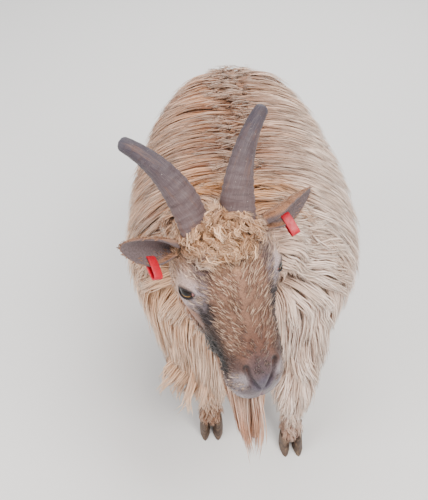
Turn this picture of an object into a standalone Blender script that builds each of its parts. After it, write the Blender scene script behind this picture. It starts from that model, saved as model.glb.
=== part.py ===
"""Pygmy goat standing with its head raised and turned to its left, life size.

Metres, +Z up. The goat faces -Y and its left side is +X. The floor is at z = 0.
"""
import itertools
import math
import random

import bmesh
import bpy
from mathutils import Matrix, Vector
from mathutils.bvhtree import BVHTree

GAP = 0.0004
SEED = 7
MIRROR = {"right": -1, "left": 1}

# Torso stations from chest to rump: y, half width, top, widest height, bottom
TORSO_STATIONS = (
    (-0.225, 0.030, 0.340, 0.305, 0.270),
    (-0.217, 0.075, 0.372, 0.300, 0.232),
    (-0.190, 0.118, 0.408, 0.292, 0.205),
    (-0.140, 0.150, 0.438, 0.286, 0.190),
    (-0.080, 0.166, 0.446, 0.280, 0.184),
    (0.000, 0.172, 0.440, 0.274, 0.176),
    (0.080, 0.170, 0.440, 0.274, 0.176),
    (0.150, 0.155, 0.448, 0.284, 0.188),
    (0.210, 0.130, 0.452, 0.300, 0.208),
    (0.250, 0.098, 0.438, 0.314, 0.240),
    (0.268, 0.050, 0.402, 0.322, 0.272),
)
TORSO_RINGS = 16
TORSO_SIDES = 22
LEFT_SWELL = 0.006

# Neck stations from withers to skull: x, y, z, half width, half depth
NECK_STATIONS = (
    (0.000, -0.080, 0.350, 0.105, 0.085),
    (-0.003, -0.140, 0.375, 0.098, 0.086),
    (-0.014, -0.190, 0.404, 0.084, 0.080),
    (-0.026, -0.228, 0.430, 0.072, 0.070),
    (-0.036, -0.258, 0.448, 0.058, 0.054),
)
NECK_SIDES = 16

# Head frame: the poll, and how far the face turns left and points below the horizon
POLL = Vector((-0.034, -0.268, 0.504))
HEAD_YAW = math.radians(22.6)
FACE_PITCH = math.radians(44.9)
HEAD_ROLL = math.radians(-1.6)

# Head stations from the back of the skull to the lip:
# along the face, half width, forehead height, widest height, jaw height
HEAD_STATIONS = (
    (-0.026, 0.018, -0.026, -0.036, -0.048),
    (-0.018, 0.036, -0.008, -0.040, -0.076),
    (0.000, 0.048, 0.004, -0.040, -0.098),
    (0.030, 0.055, 0.011, -0.040, -0.108),
    (0.060, 0.058, 0.012, -0.040, -0.108),
    (0.090, 0.052, 0.007, -0.044, -0.102),
    (0.120, 0.044, 0.001, -0.040, -0.090),
    (0.150, 0.039, -0.003, -0.038, -0.084),
    (0.176, 0.037, -0.006, -0.040, -0.081),
    (0.194, 0.034, -0.011, -0.042, -0.076),
    (0.207, 0.027, -0.020, -0.044, -0.069),
    (0.214, 0.016, -0.031, -0.045, -0.059),
    (0.216, 0.006, -0.039, -0.045, -0.051),
)
HEAD_RINGS = 26
HEAD_SIDES = 24

# Swells and hollows of the head: across, along, out of the face, radius, rise
HEAD_FORMS = (
    (0.054, 0.064, -0.017, 0.027, 0.0105),
    (0.050, 0.052, 0.000, 0.014, 0.0030),
    (0.052, 0.090, -0.040, 0.022, 0.0035),
    (0.030, 0.120, -0.020, 0.020, -0.0030),
    (0.020, 0.196, -0.014, 0.011, 0.0030),
    (0.028, 0.194, -0.050, 0.012, 0.0025),
    (0.000, 0.194, -0.072, 0.014, 0.0030),
    (0.036, 0.168, -0.056, 0.012, -0.0025),
)

EYE_RADIUS = 0.0135
EYE_PLACE = (0.0500, 0.068, -0.016)
EYE_GAZE = (0.86, 0.34, 0.38)
EYE_SLIT = (-0.31, 0.62, 0.71)
LID_HALF_LENGTH = 0.0115
LID_HALF_HEIGHT = 0.0062
LID_THICKNESS = 0.0022
LID_POINTS = 16
# Section of a lid: angle from the slit's edge in radians, rise in lid thicknesses
LID_SECTION = ((0.0, 0.0), (0.0, 0.7), (0.2, 1.0), (0.5, 0.5), (0.75, -1.4), (0.45, 0.0))

NOSTRIL_PLACE = (0.0150, 0.1925, -0.0190)
NOSTRIL_SIZE = (0.0034, 0.0075, 0.0052)
NOSTRIL_LINE = (0.62, -0.46, 0.62)
# The mouth line runs round the lips at this height and climbs towards its corners
# The front of the muzzle slopes back from the lips to the top of the nose
MUZZLE_START = 0.125
MUZZLE_END = 0.205
MUZZLE_LEVEL = -0.052
MUZZLE_SLOPE = 0.46
MOUTH_CENTRE = (0.178, -0.059)
MOUTH_CLIMB = 0.012
MOUTH_SWEEP = math.radians(118)
MOUTH_POINTS = 13
MOUTH_RADIUS = 0.0017

HORN_BASE = (0.026, 0.010, -0.012)
HORN_LENGTH = 0.137
HORN_LEAN = (math.radians(60), math.radians(92))
HORN_SPREAD = (math.radians(4), math.radians(50))
HORN_RADIUS = (0.0165, 0.0083)
HORN_FALL = 1.4
# The horn is flat: its long axis lies to the front and inwards
HORN_LONG = (1.30, 1.00)
HORN_NARROW = (0.82, 0.98)
HORN_TURN = math.radians(45)
HORN_RIDGES = 7
HORN_SIDES = 12
HORN_RIDGE_RISE = 0.0006

# Ear root, its direction and its opening, in the head's frame with the side taken as positive
EAR_BASE = (0.047, 0.014, -0.026)
EAR_AXIS = {"right": (0.86, -0.14, 0.48), "left": (0.93, -0.22, 0.10)}
EAR_OPEN = {"right": (0.20, 0.62, 0.76), "left": (0.20, 0.80, 0.45)}
EAR_LENGTH = 0.084
EAR_THICKNESS = 0.0024
# Ear stations from root to tip: share of length, arc radius, half arc angle in degrees
EAR_STATIONS = (
    (0.00, 0.0080, 150),
    (0.18, 0.0100, 140),
    (0.36, 0.0150, 110),
    (0.55, 0.0185, 86),
    (0.74, 0.0180, 70),
    (0.90, 0.0150, 52),
    (1.00, 0.0110, 26),
)
EAR_ARC_POINTS = 7
EAR_RINGS = 9

TAG_WIDTH = 0.0115
TAG_LENGTH = 0.030
TAG_DEPTH = 0.0095
TAG_SHEET = 0.0018
TAG_STATION = 0.50

# Leg stations from body to pastern: height, x and y from the foot, half width, half depth
FORELEG_STATIONS = (
    (0.260, 0.014, 0.050, 0.030, 0.042),
    (0.200, 0.010, 0.038, 0.027, 0.034),
    (0.150, 0.005, 0.020, 0.022, 0.025),
    (0.122, 0.002, 0.012, 0.021, 0.022),
    (0.090, 0.001, 0.010, 0.0150, 0.0160),
    (0.056, 0.000, 0.009, 0.0145, 0.0155),
    (0.040, 0.000, 0.006, 0.0185, 0.0190),
    (0.026, 0.000, 0.000, 0.0170, 0.0190),
)
HINDLEG_STATIONS = (
    (0.270, 0.014, -0.062, 0.034, 0.058),
    (0.205, 0.012, -0.046, 0.030, 0.046),
    (0.160, 0.006, -0.006, 0.021, 0.029),
    (0.130, 0.003, 0.022, 0.0170, 0.0235),
    (0.104, 0.002, 0.022, 0.0145, 0.0180),
    (0.060, 0.001, 0.013, 0.0135, 0.0150),
    (0.040, 0.000, 0.008, 0.0180, 0.0185),
    (0.026, 0.000, 0.000, 0.0165, 0.0185),
)
LEG_SIDES = 12
LEG_RINGS = 11
FEET = {
    "foreleg_right": (-0.052, -0.176),
    "foreleg_left": (0.076, -0.212),
    "hindleg_right": (-0.078, 0.188),
    "hindleg_left": (0.082, 0.164),
}
CLAW_HALF_WIDTH = 0.0092
CLAW_HALF_LENGTH = 0.0220
CLAW_CLEFT = 0.0026
CLAW_SIDES = 10
# Claw sections: height, share of full size, shift in y
CLAW_SECTIONS = ((0.0257, 0.78, 0.0), (0.013, 0.93, -0.003), (0.0, 1.0, -0.0075))

# Tail stations from root to tip: y, z, half width, half thickness
TAIL_STATIONS = (
    (0.233, 0.414, 0.022, 0.014),
    (0.272, 0.408, 0.019, 0.012),
    (0.292, 0.384, 0.014, 0.009),
    (0.298, 0.356, 0.008, 0.006),
)
TAIL_SIDES = 10

# Locks: share of length, share of width, share of thickness
LOCK_SECTIONS = ((0.0, 0.80, 1.0), (0.38, 1.0, 1.0), (0.74, 0.60, 0.7))
LOCK_STEPS = 8
ROOT_DEPTH = 0.006
# A lock hangs free once the surface faces this far down
HANG_LIMIT = -0.12
# Locks stay this far from their neighbours, and are shortened in these steps to do so
CLEARANCE = 0.0006
SHORTENINGS = (1.0, 0.82, 0.66, 0.5, 0.36)
RAISINGS = (1.0, 1.8)
# Faces within this many degrees of each other are joined once the coat is on, widest first
FLATNESS_STEPS = (4, 3.5, 3, 2.5, 2, 1.5, 1)
# Faces this near to another node are left as they are
NEIGHBOUR_MARGIN = 0.004

# Barrel of the torso: angle from the spine in degrees, length, width
BARREL_TIERS = ((4, 0.150, 0.068), (32, 0.150, 0.072), (61, 0.150, 0.072), (89, 0.140, 0.068))
BARREL_SPAN = (-0.150, 0.185)
BARREL_COUNT = 6
# Chest and rump: height of a row, length
CHEST_ROWS = ((0.365, 0.115), (0.305, 0.125), (0.250, 0.130))
RUMP_ROWS = ((0.405, 0.130), (0.345, 0.130), (0.285, 0.125))
END_TURNS = (-74, -37, 0, 37, 74)
END_LOCK_WIDTH = 0.054
COAT_LIFT = 0.014
# The fringe grows longer towards the shoulders, most of all on the right
FRONT_FRINGE = {"right": 0.45, "left": 0.05}
# The coat sweeps back by this much behind the shoulders and hangs straight before them
SWEEP = 0.28
SWEEP_SPAN = (-0.150, 0.040)
NECK_ROWS = (0.60, 0.86)
NECK_TURNS = (14, 44, 74, 104, 134, 164)
NECK_LOCK = (0.125, 0.050)
FORELOCK_ROWS = (
    (-0.004, (-0.009, 0.009)),
    (0.018, (-0.036, -0.012, 0.012, 0.036)),
    (0.040, (-0.040, -0.014, 0.014, 0.040)),
)
FORELOCK = (0.046, 0.029)
CHEEK_TURNS = ((108, 0.056), (142, 0.066))
CHEEK_LOCK_WIDTH = 0.030
HEAD_LIFT = 0.010
CHEEK_PLACES = (0.036, 0.066, 0.096, 0.126)
BEARD_ROWS = ((0.196, 3), (0.180, 4), (0.158, 4))
BEARD_SPREAD = 0.052
BEARD_LOCK = (0.106, 0.022)
# Feathers of a leg: height of the row, length, how far their tips stand off, count
FORELEG_FEATHERS = ((0.176, 0.118, 0.020, 6), (0.118, 0.062, 0.012, 5))
HINDLEG_FEATHERS = ((0.184, 0.095, 0.016, 6), (0.126, 0.060, 0.010, 4))
LEG_LOCK_WIDTH = 0.034
# The right shoulder's hair stands off the foreleg: turn from the rear, height, length, stand-off
SHOULDER_TUFT = (
    (215, 0.190, 0.120, 0.056),
    (250, 0.190, 0.125, 0.060),
    (285, 0.190, 0.125, 0.064),
    (232, 0.160, 0.112, 0.078),
    (268, 0.165, 0.116, 0.086),
)
TAIL_ROWS = ((0.42, 0.056), (0.75, 0.048))
TAIL_LOCK_WIDTH = 0.022
TAIL_LIFT = 0.006
TAIL_TURNS = (-90, 0, 90)


def clear_scene():
    """Remove every object of the open scene."""
    for item in list(bpy.data.objects):
        bpy.data.objects.remove(item, do_unlink=True)


def make_material(name, colour, roughness):
    """A Principled material with one colour."""
    material = bpy.data.materials.new(name)
    material.use_nodes = True
    shader = material.node_tree.nodes["Principled BSDF"]
    shader.inputs["Base Color"].default_value = (*colour, 1.0)
    shader.inputs["Roughness"].default_value = roughness
    shader.inputs["Metallic"].default_value = 0.0
    return material


def make_object(name, mesh_builder, collection, material=None):
    """Turn a bmesh into a smooth-shaded object of the collection."""
    bmesh.ops.triangulate(mesh_builder, faces=mesh_builder.faces)
    bmesh.ops.recalc_face_normals(mesh_builder, faces=mesh_builder.faces)
    mesh = bpy.data.meshes.new(name)
    mesh_builder.to_mesh(mesh)
    mesh_builder.free()
    if material:
        mesh.materials.append(material)
    mesh.shade_smooth()
    item = bpy.data.objects.new(name, mesh)
    collection.objects.link(item)
    return item


def blend_stations(stations, place):
    """Smoothly interpolate a station table at a place from 0 to 1."""
    last = len(stations) - 1
    along = min(max(place, 0.0), 1.0) * last
    index = min(int(along), last - 1)
    part = along - index
    rows = [stations[min(max(index + step, 0), last)] for step in (-1, 0, 1, 2)]
    values = []
    for before, start, end, after in zip(*rows):
        slope_in = (end - before) * 0.5
        slope_out = (after - start) * 0.5
        values.append(
            start * (2 * part**3 - 3 * part**2 + 1)
            + slope_in * (part**3 - 2 * part**2 + part)
            + end * (3 * part**2 - 2 * part**3)
            + slope_out * (part**3 - part**2)
        )
    return values


def add_loft(builder, rings, closed=False):
    """Skin rings of points with quads, and cap both ends unless the loft closes on itself."""
    rows = [[builder.verts.new(point) for point in ring] for ring in rings]
    sides = len(rows[0])
    pairs = list(zip(rows, rows[1:]))
    if closed:
        pairs.append((rows[-1], rows[0]))
    for row, following in pairs:
        for index in range(sides):
            step = (index + 1) % sides
            builder.faces.new((row[index], row[step], following[step], following[index]))
    if not closed:
        builder.faces.new(rows[0])
        builder.faces.new(rows[-1])


def add_lock(builder, path, width, thickness):
    """A flat tapered lock along a path of places and outward directions."""
    rows = []
    last = len(path) - 1
    for share, wide, thick in LOCK_SECTIONS:
        index = min(int(share * last), last - 1)
        part = share * last - index
        place = path[index][0].lerp(path[index + 1][0], part)
        out = path[index][1].lerp(path[index + 1][1], part).normalized()
        forward = (path[index + 1][0] - path[index][0]).normalized()
        side = forward.cross(out).normalized() * width * wide / 2
        out = side.cross(forward).normalized() * thickness * thick
        rows.append([builder.verts.new(place + spot) for spot in (-side, out, side)])
    tip = builder.verts.new(path[-1][0])
    for row, following in zip(rows, rows[1:]):
        for index in range(3):
            step = (index + 1) % 3
            builder.faces.new((row[index], row[step], following[step], following[index]))
    for index in range(3):
        builder.faces.new((rows[-1][index], rows[-1][(index + 1) % 3], tip))
    builder.faces.new(rows[0])


def loft_object(name, rings, collection, material=None):
    """An object skinned over rings of points."""
    builder = bmesh.new()
    add_loft(builder, rings)
    return make_object(name, builder, collection, material)


def grown_copy(item, distance, collection):
    """A copy whose faces stand out from the first by about the distance."""
    builder = bmesh.new()
    builder.from_mesh(item.data)
    builder.normal_update()
    for vert in builder.verts:
        vert.co += vert.normal * distance * vert.calc_shell_factor()
    return make_object(f"{item.name}_clearance", builder, collection)


def keep_largest(item):
    """Keep only the closed surface with the most faces."""
    builder = bmesh.new()
    builder.from_mesh(item.data)
    unseen = set(builder.faces)
    groups = []
    while unseen:
        front = [unseen.pop()]
        group = list(front)
        while front:
            face = front.pop()
            for edge in face.edges:
                for other in edge.link_faces:
                    if other in unseen:
                        unseen.remove(other)
                        front.append(other)
                        group.append(other)
        groups.append(group)
    groups.sort(key=len)
    for group in groups[:-1]:
        bmesh.ops.delete(builder, geom=group, context="FACES")
    builder.to_mesh(item.data)
    builder.free()


def apply_boolean(item, others, operation, solver="EXACT"):
    """Join or cut with a collection of closed meshes, then remove them."""
    tools = bpy.data.collections.new("tools")
    bpy.context.scene.collection.children.link(tools)
    for other in others:
        for home in list(other.users_collection):
            home.objects.unlink(other)
        tools.objects.link(other)
    modifier = item.modifiers.new("boolean", "BOOLEAN")
    modifier.operation = operation
    modifier.operand_type = "COLLECTION"
    modifier.collection = tools
    modifier.solver = solver
    graph = bpy.context.evaluated_depsgraph_get()
    result = bpy.data.meshes.new_from_object(item.evaluated_get(graph))
    item.modifiers.clear()
    item.data = result
    for other in list(tools.objects):
        bpy.data.objects.remove(other, do_unlink=True)
    bpy.data.collections.remove(tools)
    keep_largest(item)


def joined_tree(items):
    """One search tree over the surfaces of several objects."""
    places = []
    faces = []
    for item in items:
        first = len(places)
        places.extend(vert.co[:] for vert in item.data.vertices)
        faces.extend(tuple(first + corner for corner in face.vertices) for face in item.data.polygons)
    return BVHTree.FromPolygons(places, faces)


def join_flat_faces(item, others):
    """Join fragments that lie level with each other, as far as the surface stays closed."""
    for degrees in FLATNESS_STEPS:
        builder = bmesh.new()
        builder.from_mesh(item.data)
        verts = [
            vert for vert in builder.verts
            if not any(other.find_nearest(vert.co, NEIGHBOUR_MARGIN)[0] for other in others)
        ]
        chosen = set(verts)
        edges = [edge for edge in builder.edges if chosen.issuperset(edge.verts)]
        bmesh.ops.dissolve_limit(builder, angle_limit=math.radians(degrees), verts=verts, edges=edges)
        bmesh.ops.triangulate(builder, faces=builder.faces[:])
        closed = all(edge.is_manifold for edge in builder.edges)
        if closed:
            builder.to_mesh(item.data)
        builder.free()
        if closed:
            break


def lay_lock(tree, root, heading, length, lift, bend):
    """Places and outward directions along a lock that follows the coat's lie, then hangs."""
    spot, out = tree.find_nearest(root)[:2]
    path = [(spot - out * ROOT_DEPTH, out)]
    reach = length / LOCK_STEPS
    for step in range(1, LOCK_STEPS + 1):
        share = step / LOCK_STEPS
        if out.z > HANG_LIMIT:
            travel = heading(spot, out)
            travel = (travel - out * travel.dot(out)).normalized()
            travel = Matrix.Rotation(bend * share, 3, out) @ travel
            spot, out = tree.find_nearest(spot + travel * reach)[:2]
            rise = lift * share**0.7 - ROOT_DEPTH * (1 - share) ** 3
            path.append((spot + out * rise, out))
        else:
            level = Vector((out.x, out.y, 0.0))
            if level.length < 0.2:
                level = Vector((ALONG.x, ALONG.y, 0.0))
            level.normalize()
            before, last_out = path[-1]
            fall = Matrix.Rotation(bend * share * 0.5, 3, level) @ heading(before, level).normalized()
            path.append((before + (fall - last_out * 0.12).normalized() * reach, last_out.lerp(level, 0.4)))
    return path


def grow_locks(item, guides, others, places, seed):
    """Grow a lock at each place: root, heading, length, width, stand-off of its tip.

    A lock that meets another node is raised or shortened until it is clear.
    """
    tree = joined_tree(guides)
    chance = random.Random(seed)
    locks = []
    for root, heading, length, width, lift in places:
        length *= chance.uniform(0.9, 1.12)
        width *= chance.uniform(0.9, 1.1)
        bend = chance.uniform(-0.35, 0.35)
        lift *= chance.uniform(0.8, 1.2)
        thickness = width * 0.2
        for share, raising in itertools.product(SHORTENINGS, RAISINGS):
            path = lay_lock(tree, root, heading, length * share, lift * raising, bend)
            trial = bmesh.new()
            add_lock(trial, path, width + 2 * CLEARANCE, thickness + 2 * CLEARANCE)
            clear = not any(BVHTree.FromBMesh(trial).overlap(other) for other in others)
            trial.free()
            if clear:
                builder = bmesh.new()
                add_lock(builder, path, width, thickness)
                locks.append(make_object("lock", builder, bpy.context.scene.collection))
                break
    if locks:
        apply_boolean(item, locks, "UNION", "MANIFOLD")
        join_flat_faces(item, others)


def head_axes():
    """The directions across the head to its left, along the face and out of the face."""
    across = Vector((math.cos(HEAD_YAW), math.sin(HEAD_YAW), 0.0))
    forward = Vector((math.sin(HEAD_YAW), -math.cos(HEAD_YAW), 0.0))
    up = Vector((0.0, 0.0, 1.0))
    along = forward * math.cos(FACE_PITCH) - up * math.sin(FACE_PITCH)
    out = forward * math.sin(FACE_PITCH) + up * math.cos(FACE_PITCH)
    roll = Matrix.Rotation(-HEAD_ROLL, 3, along)
    return roll @ across, along, roll @ out


ACROSS, ALONG, OUT = head_axes()


def head_direction(across, along, out):
    """A unit vector from its parts in the head's frame."""
    return (ACROSS * across + ALONG * along + OUT * out).normalized()


def head_point(across, along, out):
    """A world point from its place in the head's frame."""
    return POLL + ACROSS * across + ALONG * along + OUT * out


def make_torso(collection, material):
    """The barrel of the body from the chest to the rump."""
    rings = []
    for ring in range(TORSO_RINGS):
        y, half, top, wide, bottom = blend_stations(TORSO_STATIONS, ring / (TORSO_RINGS - 1))
        points = []
        for side in range(TORSO_SIDES):
            angle = 2 * math.pi * side / TORSO_SIDES
            x = half * math.sin(angle) + LEFT_SWELL * math.sin(angle) ** 2 * half / 0.18
            reach = top - wide if math.cos(angle) > 0 else wide - bottom
            points.append(Vector((x, y, wide + reach * math.cos(angle))))
        rings.append(points)
    return loft_object("torso", rings, collection, material)


def make_neck(collection, material):
    """The short neck from the withers up to the skull."""
    rings = []
    last = len(NECK_STATIONS) * 2 - 2
    centres = [Vector(blend_stations(NECK_STATIONS, step / last)[:3]) for step in range(last + 1)]
    for step, centre in enumerate(centres):
        half_width, half_depth = blend_stations(NECK_STATIONS, step / last)[3:]
        forward = centres[min(step + 1, last)] - centres[max(step - 1, 0)]
        side = forward.cross(Vector((0, 0, 1))).normalized()
        up = side.cross(forward).normalized()
        rings.append([
            centre
            + side * half_width * math.sin(2 * math.pi * index / NECK_SIDES)
            + up * half_depth * math.cos(2 * math.pi * index / NECK_SIDES)
            for index in range(NECK_SIDES)
        ])
    return loft_object("neck", rings, collection, material)


def make_skull(collection, material):
    """The head from the back of the skull to the lips, with its swells and hollows."""
    rings = []
    for ring in range(HEAD_RINGS):
        along, half, top, wide, bottom = blend_stations(HEAD_STATIONS, ring / (HEAD_RINGS - 1))
        points = []
        for side in range(HEAD_SIDES):
            angle = 2 * math.pi * side / HEAD_SIDES
            sine, cosine = math.sin(angle), math.cos(angle)
            reach = top - wide if cosine > 0 else wide - bottom
            x = half * math.copysign(abs(sine) ** 0.86, sine)
            out = wide + reach * math.copysign(abs(cosine) ** 0.86, cosine)
            place = Vector((x, along, out))
            away = Vector((sine / half, 0.0, cosine / reach)).normalized()
            for form_x, form_along, form_out, radius, rise in HEAD_FORMS:
                for mirror in (-1, 1):
                    middle = Vector((form_x * mirror, form_along, form_out))
                    share = math.exp(-((place - middle).length / radius) ** 2)
                    place = place + away * rise * share * (1.0 if form_x else 0.5)
            fore = min(max((along - MUZZLE_START) / (MUZZLE_END - MUZZLE_START), 0.0), 1.0)
            slope = MUZZLE_SLOPE * fore * fore * (3 - 2 * fore)
            place.y -= slope * max(place.z - MUZZLE_LEVEL, 0.0)
            points.append(head_point(*place))
        rings.append(points)
    return loft_object("head", rings, collection, material)


def eye_frame(mirror):
    """The eye's centre, its gaze, the line of its slit and the way its upper lid lies."""
    x, along, out = EYE_PLACE
    centre = head_point(x * mirror, along, out)
    gaze = head_direction(EYE_GAZE[0] * mirror, EYE_GAZE[1], EYE_GAZE[2])
    slit = head_direction(EYE_SLIT[0] * mirror, EYE_SLIT[1], EYE_SLIT[2])
    slit = (slit - gaze * slit.dot(gaze)).normalized()
    upper = slit.cross(gaze).normalized()
    if upper.dot(ALONG) > 0:
        upper.negate()
    return centre, gaze, slit, upper


def make_eye(name, mirror, collection, material):
    """The eyeball."""
    centre = eye_frame(mirror)[0]
    builder = bmesh.new()
    bmesh.ops.create_uvsphere(builder, u_segments=14, v_segments=9, radius=EYE_RADIUS)
    bmesh.ops.translate(builder, verts=builder.verts, vec=centre)
    return make_object(name, builder, collection, material)


def make_lids(mirror, collection):
    """The ring of upper and lower lid round the slit of the eye."""
    centre, gaze, slit, upper = eye_frame(mirror)
    inner = EYE_RADIUS + 2 * GAP
    rings = []
    for step in range(LID_POINTS):
        turn = 2 * math.pi * step / LID_POINTS
        height = LID_HALF_HEIGHT if math.sin(turn) > 0 else LID_HALF_HEIGHT * 0.85
        offset = slit * math.cos(turn) * LID_HALF_LENGTH + upper * math.sin(turn) * height
        edge = math.asin(offset.length / inner)
        away = offset.normalized()
        ring = []
        for spread, rise in LID_SECTION:
            radius = inner + LID_THICKNESS * rise
            ring.append(centre + (away * math.sin(edge + spread) + gaze * math.cos(edge + spread)) * radius)
        rings.append(ring)
    builder = bmesh.new()
    add_loft(builder, rings, closed=True)
    return make_object("lids", builder, collection)


def make_nostril(mirror, collection):
    """A slanted oval cutter for one nostril."""
    builder = bmesh.new()
    bmesh.ops.create_icosphere(builder, subdivisions=2, radius=1.0)
    bmesh.ops.scale(builder, verts=builder.verts, vec=NOSTRIL_SIZE)
    across, along, out = NOSTRIL_LINE
    long_way = head_direction(across * mirror, along, out)
    short_way = long_way.cross(ALONG).normalized()
    turn = Matrix((short_way, long_way, short_way.cross(long_way))).transposed().to_4x4()
    place = head_point(NOSTRIL_PLACE[0] * mirror, NOSTRIL_PLACE[1], NOSTRIL_PLACE[2])
    bmesh.ops.transform(builder, matrix=Matrix.Translation(place) @ turn, verts=builder.verts)
    return make_object("nostril", builder, collection)


def make_tube(name, points, radius, collection):
    """A round bar through the points, as one closed mesh."""
    curve = bpy.data.curves.new(name, "CURVE")
    curve.dimensions = "3D"
    curve.bevel_depth = radius
    curve.bevel_resolution = 1
    curve.use_fill_caps = True
    spline = curve.splines.new("POLY")
    spline.points.add(len(points) - 1)
    for spot, point in zip(spline.points, points):
        spot.co = (*point, 1.0)
    guide = bpy.data.objects.new(name, curve)
    collection.objects.link(guide)
    graph = bpy.context.evaluated_depsgraph_get()
    mesh = bpy.data.meshes.new_from_object(guide.evaluated_get(graph))
    builder = bmesh.new()
    builder.from_mesh(mesh)
    bmesh.ops.remove_doubles(builder, verts=builder.verts, dist=radius * 0.01)
    bpy.data.objects.remove(guide, do_unlink=True)
    return make_object(name, builder, collection)


def make_mouth(head, collection):
    """A cutter along the line between the lips."""
    tree = joined_tree([head])
    points = []
    for step in range(MOUTH_POINTS):
        sweep = MOUTH_SWEEP * (2 * step / (MOUTH_POINTS - 1) - 1)
        height = MOUTH_CENTRE[1] + MOUTH_CLIMB * (1 - math.cos(sweep))
        origin = head_point(0.0, MOUTH_CENTRE[0], height)
        heading = head_direction(math.sin(sweep), math.cos(sweep), 0.0)
        points.append(tree.ray_cast(origin, heading)[0])
    return make_tube("mouth", points, MOUTH_RADIUS, collection)


def horn_path(mirror, count):
    """Points and directions along a horn's centre line."""
    x, along, out = HORN_BASE
    point = head_point(x * mirror, along, out)
    places = []
    for step in range(count + 1):
        share = step / count
        lean = HORN_LEAN[0] + (HORN_LEAN[1] - HORN_LEAN[0]) * share
        spread = HORN_SPREAD[0] + (HORN_SPREAD[1] - HORN_SPREAD[0]) * share
        heading = head_direction(
            mirror * math.sin(spread),
            -math.sin(lean) * math.cos(spread),
            math.cos(lean) * math.cos(spread),
        )
        places.append((point.copy(), heading, share))
        point += heading * HORN_LENGTH / count
    return places


def make_horn(name, mirror, collection, material):
    """A horn with a blunt tip and low rings."""
    rings = []
    for point, heading, share in horn_path(mirror, HORN_RIDGES * 2):
        fall = HORN_RADIUS[0] + (HORN_RADIUS[1] - HORN_RADIUS[0]) * share**HORN_FALL
        radius = fall + HORN_RIDGE_RISE * math.cos(share * HORN_RIDGES * 2 * math.pi) * (1 - share)
        front = (ALONG - heading * ALONG.dot(heading)).normalized()
        outward = front.cross(heading).normalized() * mirror
        long_axis = front * math.sin(HORN_TURN) - outward * math.cos(HORN_TURN)
        narrow_axis = front * math.cos(HORN_TURN) + outward * math.sin(HORN_TURN)
        half_long = radius * (HORN_LONG[0] + (HORN_LONG[1] - HORN_LONG[0]) * share)
        half_narrow = radius * (HORN_NARROW[0] + (HORN_NARROW[1] - HORN_NARROW[0]) * share)
        rings.append([
            point
            - narrow_axis * half_narrow * mirror * math.sin(2 * math.pi * index / HORN_SIDES)
            + long_axis * half_long * math.cos(2 * math.pi * index / HORN_SIDES)
            for index in range(HORN_SIDES)
        ])
    last_ring = rings[-1]
    middle = sum(last_ring, Vector()) / len(last_ring)
    tip_heading = horn_path(mirror, 2)[-1][1]
    for rise, shrink in ((0.004, 0.80), (0.0062, 0.45)):
        rings.append([middle + tip_heading * rise + (point - middle) * shrink for point in last_ring])
    return loft_object(name, rings, collection, material)


def ear_frame(side):
    """The ear's root and its directions to the tip, to its lower edge and out of the cup."""
    mirror = MIRROR[side]
    root = head_point(EAR_BASE[0] * mirror, EAR_BASE[1], EAR_BASE[2])
    axis_across, axis_along, axis_out = EAR_AXIS[side]
    axis = head_direction(axis_across * mirror, axis_along, axis_out)
    open_across, open_along, open_out = EAR_OPEN[side]
    opening = head_direction(open_across * mirror, open_along, open_out)
    opening = (opening - axis * opening.dot(axis)).normalized()
    lower = axis.cross(opening).normalized()
    if lower.z > 0:
        lower.negate()
    return root, axis, lower, opening


def make_ear(side, collection, material):
    """An ear as a cupped leaf with real thickness."""
    root, axis, lower, opening = ear_frame(side)
    rings = []
    for step in range(EAR_RINGS + 1):
        share, radius, half_angle = blend_stations(EAR_STATIONS, step / EAR_RINGS)
        half_angle = math.radians(half_angle)
        centre = root + axis * EAR_LENGTH * share + opening * radius
        angles = [half_angle * (2 * index / (EAR_ARC_POINTS - 1) - 1) for index in range(EAR_ARC_POINTS)]
        outer = [centre + (lower * math.sin(angle) - opening * math.cos(angle)) * radius for angle in angles]
        inner_radius = radius - EAR_THICKNESS
        inner = [
            centre + (lower * math.sin(angle) - opening * math.cos(angle)) * inner_radius
            for angle in reversed(angles)
        ]
        rings.append(outer + inner)
    builder = bmesh.new()
    add_loft(builder, rings)
    return make_object(f"ear_{side}", builder, collection, material)


def make_tag(side, collection, material):
    """A closed strap that pierces the ear and passes round its lower edge."""
    root, axis, lower, opening = ear_frame(side)
    radius, half_angle = blend_stations(EAR_STATIONS, TAG_STATION)[1:]
    angle = math.radians(half_angle) * 0.78
    centre = root + axis * EAR_LENGTH * TAG_STATION + opening * radius
    away = lower * math.sin(angle) - opening * math.cos(angle)
    edgewise = lower * math.cos(angle) + opening * math.sin(angle)
    middle = centre + away * (radius - EAR_THICKNESS / 2) + edgewise * 0.008
    rings = []
    count = 20
    for step in range(count):
        turn = 2 * math.pi * step / count
        bend = max(-1.0, min(1.0, 1.5 * math.cos(turn)))
        long_way = edgewise * (TAG_LENGTH - TAG_DEPTH) / 2 * bend + edgewise * TAG_DEPTH / 2 * math.cos(turn)
        short_way = away * TAG_DEPTH / 2 * math.sin(turn)
        spot = long_way + short_way
        inward = (edgewise * math.cos(turn) * 0.6 + away * math.sin(turn)).normalized() * TAG_SHEET
        rings.append([
            middle + spot + axis * TAG_WIDTH / 2,
            middle + spot - axis * TAG_WIDTH / 2,
            middle + spot - inward - axis * TAG_WIDTH / 2,
            middle + spot - inward + axis * TAG_WIDTH / 2,
        ])
    builder = bmesh.new()
    add_loft(builder, rings, closed=True)
    return make_object(f"tag_{side}", builder, collection, material)


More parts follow.
